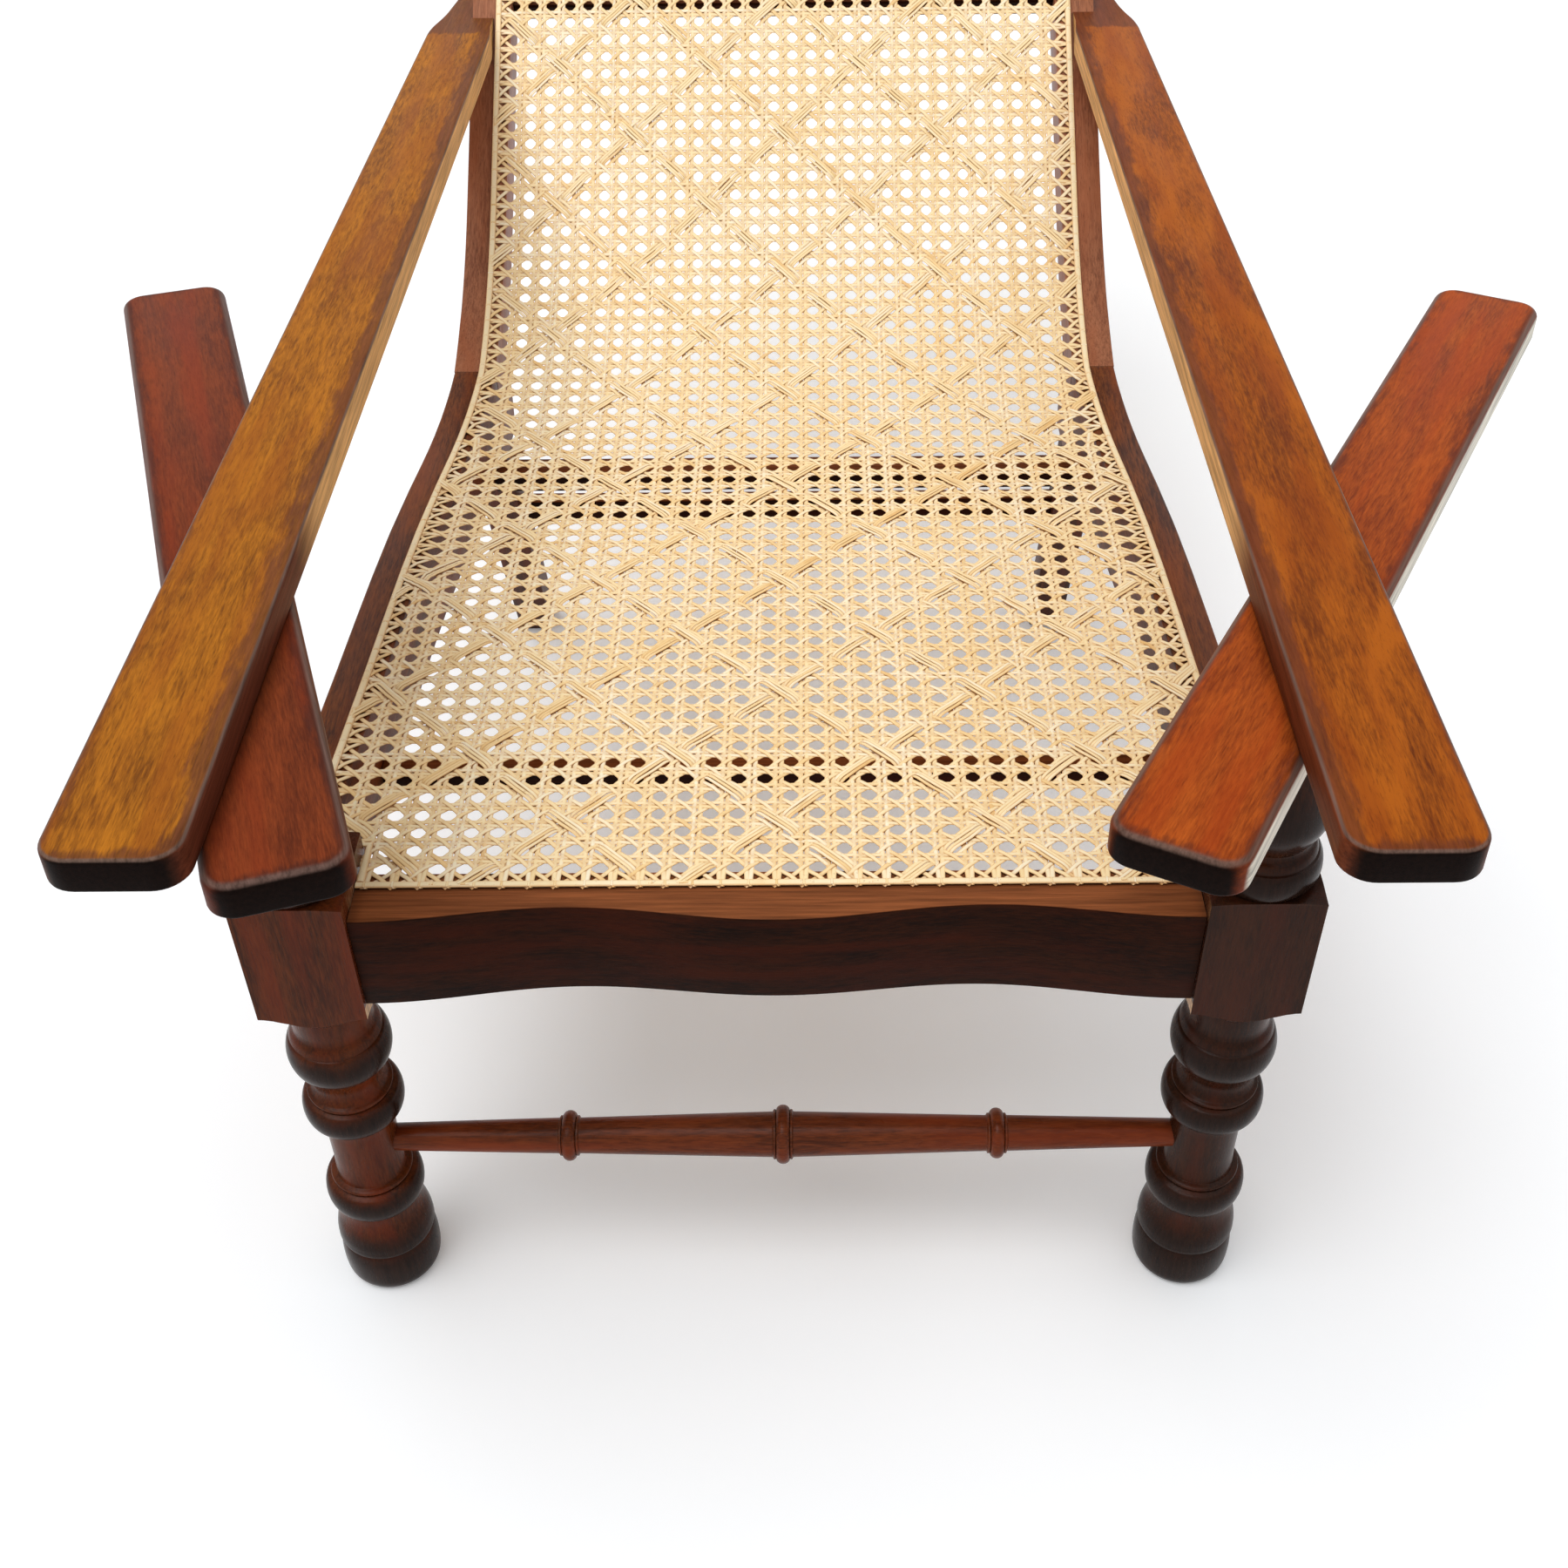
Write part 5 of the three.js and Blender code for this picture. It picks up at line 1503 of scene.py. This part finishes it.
def strand_notes(points, tone):
    steps = np.linalg.norm(np.diff(points, axis=0), axis=1)
    run_length = np.concatenate([[0], np.cumsum(steps)])
    sunk = np.clip((CANE_LIFT - points[:, 2]) / DEEP, 0, 1)
    along = np.column_stack([run_length, np.full(len(points), tone), sunk])
    across = np.tile([2 * abs(side) for side, _ in SECTION], len(points))
    return np.column_stack([np.repeat(along, len(SECTION), axis=0), across])


def ribbons(name, strands, width, thickness):
    section = section_curve(width, thickness)
    data = bpy.data.curves.new(name, "CURVE")
    data.dimensions = "3D"
    data.twist_mode = "Z_UP"
    data.bevel_mode = "OBJECT"
    data.bevel_object = section
    data.use_fill_caps = True
    notes = []
    for points, tone in strands:
        spline = data.splines.new("POLY")
        spline.points.add(len(points) - 1)
        placed = np.column_stack([points, np.ones(len(points))])
        spline.points.foreach_set("co", placed.ravel())
        notes.append(strand_notes(points, tone))
    item = place_object(name, data)
    mesh = evaluated_mesh(item)
    for thing in (item, section):
        bpy.data.objects.remove(thing)
    last, first = slice(-len(SECTION), None), slice(len(SECTION))
    caps = [note[part] for note in reversed(notes) for part in (last, first)]
    notes = np.concatenate(caps + notes)
    strand = mesh.attributes.new("strand", "FLOAT_VECTOR", "POINT")
    strand.data.foreach_set("vector", notes[:, :3].ravel())
    across = mesh.attributes.new("across", "FLOAT", "POINT")
    across.data.foreach_set("value", notes[:, 3])
    welded = bmesh.new()
    welded.from_mesh(mesh)
    bmesh.ops.remove_doubles(welded, verts=welded.verts, dist=WELD)
    welded.to_mesh(mesh)
    welded.free()
    return mesh


def bend_to_seat(mesh):
    places = np.zeros(len(mesh.vertices) * 3)
    mesh.vertices.foreach_get("co", places)
    places = places.reshape(-1, 3)
    places[:, 1], places[:, 2] = seat_line(places[:, 1], places[:, 2])
    mesh.vertices.foreach_set("co", places.ravel())
    mesh.update()
    return mesh


# %% [markdown]
# The cane's own finish is a pale, slightly glossy straw. Strands differ a little, and each has
# darker stretches along its length. Shade is painted in as a darker colour towards each strand's
# edges and where a strand dips under another. Specks, and painted shade in the crossings found by
# ambient occlusion, come last.

# %% Make the cane material
STRAND_STRETCH = 22.0
STRAND_APART = 970.0
PATCH_SHARE = 0.8
TONE_SHARE = 0.9
PALE, STRAW, GOLD = (255, 243, 212), (253, 229, 178), (243, 206, 142)
# Each tint: (mask's share, colour).
TAN = (0.5, (224, 172, 100))
# Painted shade towards each strand's edges.
EDGE_SHADE = (0.65, (222, 166, 98))
# Painted shade where a strand dips under another.
DIP_SHADE = (0.45, (204, 142, 76))
SPECK = (0.35, (176, 128, 72))
# Painted shade in the crossings, found by ambient occlusion.
CROSSING_SHADE = (0.85, (178, 112, 50))
SPECK_STRETCH = (420, 420, 420)
CROSSING_REACH = 3 * MM


def make_cane():
    material, tree, shader = new_material("split_cane")
    note = add_node(tree, "ShaderNodeAttribute", attribute_name="strand")
    apart = feed(tree, add_node(tree, "ShaderNodeSeparateXYZ"), Vector=note.outputs["Vector"])
    length, own_tone, depth = apart.outputs
    long_way = add_node(tree, "ShaderNodeCombineXYZ")
    feed(tree, long_way, X=times(tree, length, STRAND_STRETCH),
         Y=times(tree, own_tone, STRAND_APART))
    noise = add_node(tree, "ShaderNodeTexNoise")
    feed(tree, noise, Vector=long_way.outputs[0], Scale=1.0, Detail=3.0)
    patch = noise.outputs["Fac"]
    tone = times(tree, own_tone, TONE_SHARE)
    tone = math_node(tree, "MULTIPLY_ADD", patch, PATCH_SHARE, tone)
    colour = blend_colours(tree, ramp(tree, tone, 0.3, 0.9), screen(*PALE), screen(*STRAW))
    colour = blend_colours(tree, ramp(tree, tone, 0.9, 1.5), colour, screen(*GOLD))
    across = add_node(tree, "ShaderNodeAttribute", attribute_name="across").outputs["Fac"]
    speck = stretched_noise(tree, object_place(tree), SPECK_STRETCH, 2)
    # Painted shade where strands lie close together at the crossings.
    crossing_shade = occlusion_shade(tree, CROSSING_REACH, 4, (0.25, 0.8))
    for mask, (share, tint) in (
        (ramp(tree, patch, 0.60, 0.72), TAN),
        (ramp(tree, across, 0.4, 1.0), EDGE_SHADE),
        (depth, DIP_SHADE),
        (ramp(tree, speck, 0.66, 0.74), SPECK),
        (crossing_shade, CROSSING_SHADE),
    ):
        colour = blend_colours(tree, times(tree, mask, share), colour, screen(*tint))
    roughness = math_node(tree, "MULTIPLY_ADD", patch, 0.2, 0.32)
    feed(tree, shader, Base_Color=colour, Roughness=roughness)
    shader.inputs["Specular IOR Level"].default_value = 0.3
    return material


CANE = make_cane()
print("made material", CANE.name)

# %% [markdown]
# Uprights come in pairs: one of the two passes over the first row of a pair of cross strands and
# under the second, and its neighbour does the opposite. Close to an edge, both strands of a pair
# run into one hole.

# %% Define how a pair lies
PAIR = 1.95 * MM
PAIR_X = PAIR / CELL_X
PAIR_Y = PAIR / CELL_Y
DIP = 0.42 * MM
PINCH_REACH = 1.2
PINCH_LEAST = 0.35
STRAND_CREASE = math.radians(60)
UPRIGHT_WIDTH = 3.25 * MM
UPRIGHT_THICK = 0.75 * MM


def settle(x, y, lift):
    lift = np.where(over_wood(x, y), np.maximum(lift, -OVER_WOOD), lift)
    return np.column_stack([x, y, CANE_LIFT + lift])


def pinch(distance):
    """How far apart a pair still is, given the cells to the hole that takes both strands."""
    return np.clip(distance / PINCH_REACH, PINCH_LEAST, 1)


def weave(name, strands, width, thickness):
    mesh = bend_to_seat(ribbons(name, list(strands), width, thickness))
    return fit(name, mesh, CANE, "cane", "cane_panel", crease=STRAND_CREASE)


# %% Weave the uprights


def upright(column, first, last, offset):
    sign = 1 if offset > 0 else -1
    rows, lifts = [first], [0.0]
    for row in range(math.ceil(first + 0.5), math.floor(last - 0.4)):
        middle = row + 0.5
        rows += [float(row), middle - PAIR_Y, middle + PAIR_Y]
        lifts += [0.0, sign * DIP, -sign * DIP]
    rows.append(last)
    lifts.append(0.0)
    rows = np.array(rows)
    x, y = to_panel(np.full(len(rows), float(column)), rows)
    return settle(x + offset * pinch(np.minimum(rows - first, last - rows)), y, np.array(lifts))


def upright_strands():
    reach = int(float(whole_edge(BLOCK_ROW + 1)) - 0.5)
    for column in range(-reach, reach + 1):
        rows = np.arange(BLOCK_ROW, ROWS, 0.25)
        held = rows[whole_edge(rows) >= abs(column) + 1.5 - TINY]
        if not len(held):
            continue
        first = 0.0 if abs(column) <= FRONT_COLUMNS else BLOCK_ROW + 0.1
        last = float(ROWS) if held[-1] > ROWS - 1 else float(held[-1]) + 0.5
        for offset in (-PAIR, PAIR):
            yield upright(column, first, last, offset), RANDOM.uniform(*PAIR_TONES)


weave("cane_uprights", upright_strands(), UPRIGHT_WIDTH, UPRIGHT_THICK)

# %% [markdown]
# Cross strands are pairs too. They dip where an upright passes over them, and rise where it
# passes under.

# %% Weave the cross strands


def cross_strands():
    for row in range(1, ROWS - 1):
        middle = row + 0.5
        edge = float(whole_edge(middle)) if middle > BLOCK_ROW else FRONT_COLUMNS + 0.5
        last = int(edge - 0.5)
        for offset in (-PAIR, PAIR):
            sign = -1 if offset > 0 else 1
            columns, lifts = [-edge], [0.0]
            for column in range(-last, last + 1):
                columns += [column - PAIR_X, column + PAIR_X, column + 0.5]
                lifts += [-sign * DIP, sign * DIP, 0.0]
            columns[-1] = edge
            columns = np.array(columns)
            x, y = to_panel(columns, np.full(len(columns), middle))
            y = y + offset * pinch(edge - np.abs(columns))
            yield settle(x, y, np.array(lifts)), RANDOM.uniform(*PAIR_TONES)


weave("cane_cross_strands", cross_strands(), UPRIGHT_WIDTH, UPRIGHT_THICK)

# %% [markdown]
# The single diagonals lock the weave. One set passes over the uprights and under the cross
# strands, and the other set does the reverse, so they draw the square holes into rounded ones.

# %% Weave the diagonals
DIAGONAL_WIDTH = 3.0 * MM
DIAGONAL_THICK = 0.7 * MM
DIAGONAL_DIP = 0.85 * MM
SAMPLE = 0.25
SHORTEST_RUN = 3
WIDEST = float(whole_edge(BLOCK_ROW + 1))


def runs_inside(columns, rows):
    kept = np.array([inside(column, row) for column, row in zip(columns, rows)])
    changes = np.flatnonzero(np.diff(np.concatenate([[0], kept.astype(int), [0]])))
    for first, last in zip(changes[::2], changes[1::2]):
        if last - first > SHORTEST_RUN:
            yield columns[first:last], rows[first:last]


def diagonals(rise):
    for start in range(-20, ROWS + 20):
        columns = np.arange(-WIDEST, WIDEST + SAMPLE / 2, SAMPLE)
        rows = start + rise * columns
        for run_columns, run_rows in runs_inside(columns, rows):
            x, y = to_panel(run_columns, run_rows)
            lift = rise * DIAGONAL_DIP * np.cos(2 * math.pi * run_columns)
            yield settle(x, y, lift), RANDOM.uniform(*SINGLE_TONES)


weave("cane_diagonals_rising", diagonals(1), DIAGONAL_WIDTH, DIAGONAL_THICK)
weave("cane_diagonals_falling", diagonals(-1), DIAGONAL_WIDTH, DIAGONAL_THICK)

# %% [markdown]
# The broad bands go in last. Each is three strands side by side that fill a diagonal row of
# holes, show for nearly two cells, and dip under the next crossing. Where two bands meet, the
# falling one is on top.

# %% Weave the broad bands
BAND_SPACING = 8
BAND_PHASE = 3.5
BAND_WIDTH = 2.3 * MM
BAND_STEP = 2.45 * MM
BAND_HEIGHT = 1.75 * MM
BAND_SAMPLE = 0.125
RISE_START = 0.16
RISE_LENGTH = 0.3
SWAY_PLACES = np.arange(-20, 21)
SWAY_SIZE = 0.3
HEIGHT_PLAY = 0.2


def band_lift(columns, rise):
    phase = columns if rise > 0 else columns + 1
    hidden = np.abs(phase % 2 - 1)
    shown = np.clip((1 - hidden - RISE_START) / RISE_LENGTH, 0, 1)
    return shown * shown * (3 - 2 * shown)


def band_strands(rise):
    for start in np.arange(BAND_PHASE - 4 * BAND_SPACING, ROWS + 24, BAND_SPACING):
        columns = np.arange(-WIDEST, WIDEST + BAND_SAMPLE / 2, BAND_SAMPLE)
        rows = start + rise * columns
        for run_columns, run_rows in runs_inside(columns, rows):
            x, y = to_panel(run_columns, run_rows)
            shown = band_lift(run_columns, rise)
            lift = BAND_HEIGHT * (2 * shown - 1)
            for place in (-1, 0, 1):
                bends = [RANDOM.gauss(0, SWAY_SIZE) for _ in SWAY_PLACES]
                swayed = np.interp(run_columns, SWAY_PLACES, bends) * MM
                shift = (place * BAND_STEP + swayed * shown) / math.sqrt(2)
                height = lift + RANDOM.uniform(-HEIGHT_PLAY, HEIGHT_PLAY) * MM
                held_y = np.clip(y + rise * shift, BAND_WIDTH, CANE_LENGTH - BAND_WIDTH)
                limit = outer_x(seat_line(held_y)[0]) - CANE_MARGIN - BAND_WIDTH
                held_x = np.clip(x - shift, -limit, limit)
                yield settle(held_x, held_y, height), RANDOM.uniform(*SINGLE_TONES)


weave("cane_bands_rising", band_strands(1), BAND_WIDTH, DIAGONAL_THICK)
weave("cane_bands_falling", band_strands(-1), BAND_WIDTH, DIAGONAL_THICK)

# %% [markdown]
# ## The binder
# A wide strand covers the holes along every edge. It is made as the weave is, from points on the
# flat pattern, and follows the bow of the side frames. At the front it steps in where it passes
# the square blocks of the legs.

# %% Build the binders
BINDER_WIDTH = 5.0 * MM
BINDER_THICK = 1.5 * MM
BINDER_LIFT = 2.2 * MM
BINDER_TONE = 0.3
BINDER_STEP = 12 * MM
BINDER_POINTS = 24
BINDER_TOP_REACH = 260 * MM
BINDER_CREASE = math.radians(50)
FRONT_LINE = BINDER_WIDTH / 2
TOP_LINE = CANE_LENGTH - BINDER_WIDTH / 2


def binder_path(sign):
    inset = BINDER_WIDTH / 2
    corner = BLOCK_EDGE * CELL_X - inset
    back = BLOCK_ROW * CELL_Y + inset
    lengths = np.arange(back, CANE_LENGTH - BINDER_WIDTH, BINDER_STEP)
    side = outer_x(seat_line(lengths)[0]) - CANE_MARGIN - inset
    x = np.concatenate([[corner, corner, corner], side])
    y = np.concatenate([[BINDER_WIDTH, BINDER_WIDTH * 2, back], lengths])
    return np.column_stack([sign * x, y, np.full(len(x), BINDER_LIFT)])


def straight_binder(length, reach):
    x = np.linspace(-reach, reach, BINDER_POINTS)
    return np.column_stack([x, np.full(len(x), length), np.full(len(x), BINDER_LIFT)])


for edge_name, path in (
    ("left", binder_path(-1)),
    ("right", binder_path(1)),
    ("front", straight_binder(FRONT_LINE, BLOCK_EDGE * CELL_X)),
    ("top", straight_binder(TOP_LINE, BINDER_TOP_REACH)),
):
    name = f"binder_strand_{edge_name}"
    mesh = bend_to_seat(ribbons(name, [(path, BINDER_TONE)], BINDER_WIDTH, BINDER_THICK))
    fit(name, mesh, CANE, "cane", f"cane_binder_{edge_name}", crease=BINDER_CREASE)

# %% [markdown]
# A thin loop comes up at each hole, crosses the binder and goes down again. Its points lie on the
# roof shape of the binder's section, with a little clearance, so it neither floats nor sinks in.

# %% Tie the binders down with loops
LOOP_STEPS = 8
LOOP_WIDTH = 1.6 * MM
LOOP_THICK = 0.35 * MM
LOOP_REACH = 0.46
LOOP_CLEARANCE = 0.12 * MM
BINDER_ROOF = 0.56


def loop_over(middle, across):
    turns = np.linspace(0, math.pi, LOOP_STEPS)
    reach = BINDER_WIDTH * LOOP_REACH * np.cos(turns)
    roof = BINDER_THICK * BINDER_ROOF * (1 - np.abs(reach) * 2 / BINDER_WIDTH)
    lift = BINDER_LIFT + LOOP_CLEARANCE + roof
    points = [(middle[0] + across[0] * r, middle[1] + across[1] * r, h)
              for r, h in zip(reach, lift)]
    return np.array(points), RANDOM.random()


def side_loops(sign):
    for row in range(int(BLOCK_ROW) + 1, ROWS):
        length = (row + 0.5) * CELL_Y
        if length > CANE_LENGTH - BINDER_WIDTH:
            break
        x = float(outer_x(seat_line(length)[0])) - CANE_MARGIN - BINDER_WIDTH / 2
        yield loop_over((sign * x, length), (1, 0))


def end_loops(length):
    for column in range(-FRONT_COLUMNS, FRONT_COLUMNS + 1):
        x, _ = to_panel([column], [length / CELL_Y])
        yield loop_over((float(x[0]), length), (0, 1))


for edge_name, loops in (
    ("left", side_loops(-1)),
    ("right", side_loops(1)),
    ("front", end_loops(FRONT_LINE)),
    ("top", end_loops(TOP_LINE)),
):
    name = f"binder_loops_{edge_name}"
    mesh = bend_to_seat(ribbons(name, list(loops), LOOP_WIDTH, LOOP_THICK))
    fit(name, mesh, CANE, "cane", f"cane_binder_{edge_name}", crease=STRAND_CREASE)

# %% [markdown]
# ## Pins, dowels and screws
# The pins and dowels are simple round pieces whose solids already have the right shape, so they
# stay and only take a finish. The screws are turned like the legs, and a flat bar cuts the slot
# in each head.

# %% Finish the small pieces
STEEL_STRETCH = (900, 900, 900)
SCREW_SIDES = 32
SCREW_TURN = 0.6
SCREW_PROFILE = [(2.4, -27), (2.4, -3), (4.6, -3), (5, -2.4), (4.9, -1), (4, -0.2), (3, 0)]
SLOT_LOW = (-6 * MM, -0.5 * MM, -1.2 * MM)
SLOT_HIGH = (6 * MM, 0.5 * MM, 2 * MM)


def make_steel():
    material, tree, shader = new_material("dull_steel")
    dull = stretched_noise(tree, object_place(tree), STEEL_STRETCH, 4, 0.6)
    bright = ramp(tree, dull, 0.45, 0.7)
    colour = blend_colours(tree, bright, screen(150, 142, 130), screen(84, 70, 56))
    roughness = math_node(tree, "MULTIPLY_ADD", dull, 0.4, 0.2)
    feed(tree, shader, Base_Color=colour, Roughness=roughness)
    shader.inputs["Metallic"].default_value = 1.0
    return material


STEEL = make_steel()


def screw_mesh(node, sign):
    low, high = local_box(node)
    centre = (low + high) / 2
    head_x = high.x if sign > 0 else low.x
    screw = as_mesh("screw", turned(in_metres(SCREW_PROFILE), SCREW_SIDES))
    mesh = boolean(screw, as_mesh("slot", block(SLOT_LOW, SLOT_HIGH)), "DIFFERENCE")
    mesh.transform(Matrix.Translation((head_x, centre.y, centre.z))
                   @ Matrix.Rotation(sign * math.pi / 2, 4, "Y")
                   @ Matrix.Rotation(SCREW_TURN * sign, 4, "Z"))
    return mesh


for side, sign in SIDES:
    screw_node = f"arm_screw_{side}"
    fit(f"screw_slotted_{side}", screw_mesh(screw_node, sign), STEEL, "steel", screw_node)
    for kind, finish in (("lap_dowel", REAR_WOOD), ("pivot_pin", STRETCHER_WOOD)):
        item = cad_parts[f"{kind}_{side}"]
        item.data.materials.clear()
        item.data.materials.append(finish)

# %% [markdown]
# ## Floor and light
# The chair stands on a seamless white floor. A soft key light from the front left draws the
# shadow, a broad one overhead fills it, and the sky is pale near the horizon and dimmer above, as
# in a white studio. More light would make the background white as well, but it would bleach the
# cane. Light Path does it instead: where a ray comes straight from the camera, or by way of a
# reflection, the sky is pure white and the floor glows a little, and no more light falls on the
# wood.

# %% Lay the floor
FLOOR_SIZE = 60.0
FLOOR_COLOUR = (0.955, 0.975, 0.995, 1)
FLOOR_GLOW = 0.11
WHITE = (1, 1, 1, 1)


def seen_directly(tree):
    path = add_node(tree, "ShaderNodeLightPath").outputs
    seen = math_node(tree, "ADD", path["Is Camera Ray"], path["Is Glossy Ray"])
    seen = math_node(tree, "ADD", seen, path["Is Transmission Ray"])
    return math_node(tree, "MINIMUM", seen, 1.0)


def make_floor():
    shape = bmesh.new()
    bmesh.ops.create_grid(shape, x_segments=1, y_segments=1, size=FLOOR_SIZE / 2)
    mesh = as_mesh("floor", shape)
    material, tree, shader = new_material("floor_white")
    shader.inputs["Base Color"].default_value = FLOOR_COLOUR
    shader.inputs["Emission Color"].default_value = WHITE
    feed(tree, shader, Emission_Strength=times(tree, seen_directly(tree), FLOOR_GLOW))
    shader.inputs["Roughness"].default_value = 0.9
    shader.inputs["Specular IOR Level"].default_value = 0.0
    mesh.materials.append(material)
    place_object("floor", mesh)


make_floor()
print("floor", FLOOR_SIZE, "m wide")

# %% Set the lamps and the sky
SKY = (0.24, 0.24, 0.24, 1)
HORIZON = (0.75, 0.75, 0.75, 1)
SKY_EDGES = (0.12, 0.62)
# Each lamp: (where it shines from, strength, spread in degrees).
KEY = ((-0.27, -0.24, 1.0), 1.32, 38)
OVERHEAD = ((-0.04, 0.1, 1.0), 1.1, 90)


def lamp_from(name, way, strength, spread):
    lamp = bpy.data.lights.new(name, "SUN")
    lamp.energy = strength
    lamp.angle = math.radians(spread)
    item = place_object(name, lamp)
    item.rotation_euler = Vector(way).to_track_quat("Z", "Y").to_euler()


def make_world():
    world = bpy.data.worlds.new("world")
    bpy.context.scene.world = world
    world.use_nodes = True
    tree = world.node_tree
    direction = add_node(tree, "ShaderNodeTexCoord").outputs["Generated"]
    apart = feed(tree, add_node(tree, "ShaderNodeSeparateXYZ"), _0=direction)
    height = ramp(tree, math_node(tree, "ABSOLUTE", apart.outputs["Z"]), *SKY_EDGES)
    colour = blend_colours(tree, height, HORIZON, SKY)
    colour = blend_colours(tree, seen_directly(tree), colour, WHITE)
    feed(tree, tree.nodes["Background"], Color=colour, Strength=1.0)


lamp_from("key", *KEY)
lamp_from("overhead", *OVERHEAD)
make_world()
bpy.context.scene.view_settings.view_transform = "Standard"
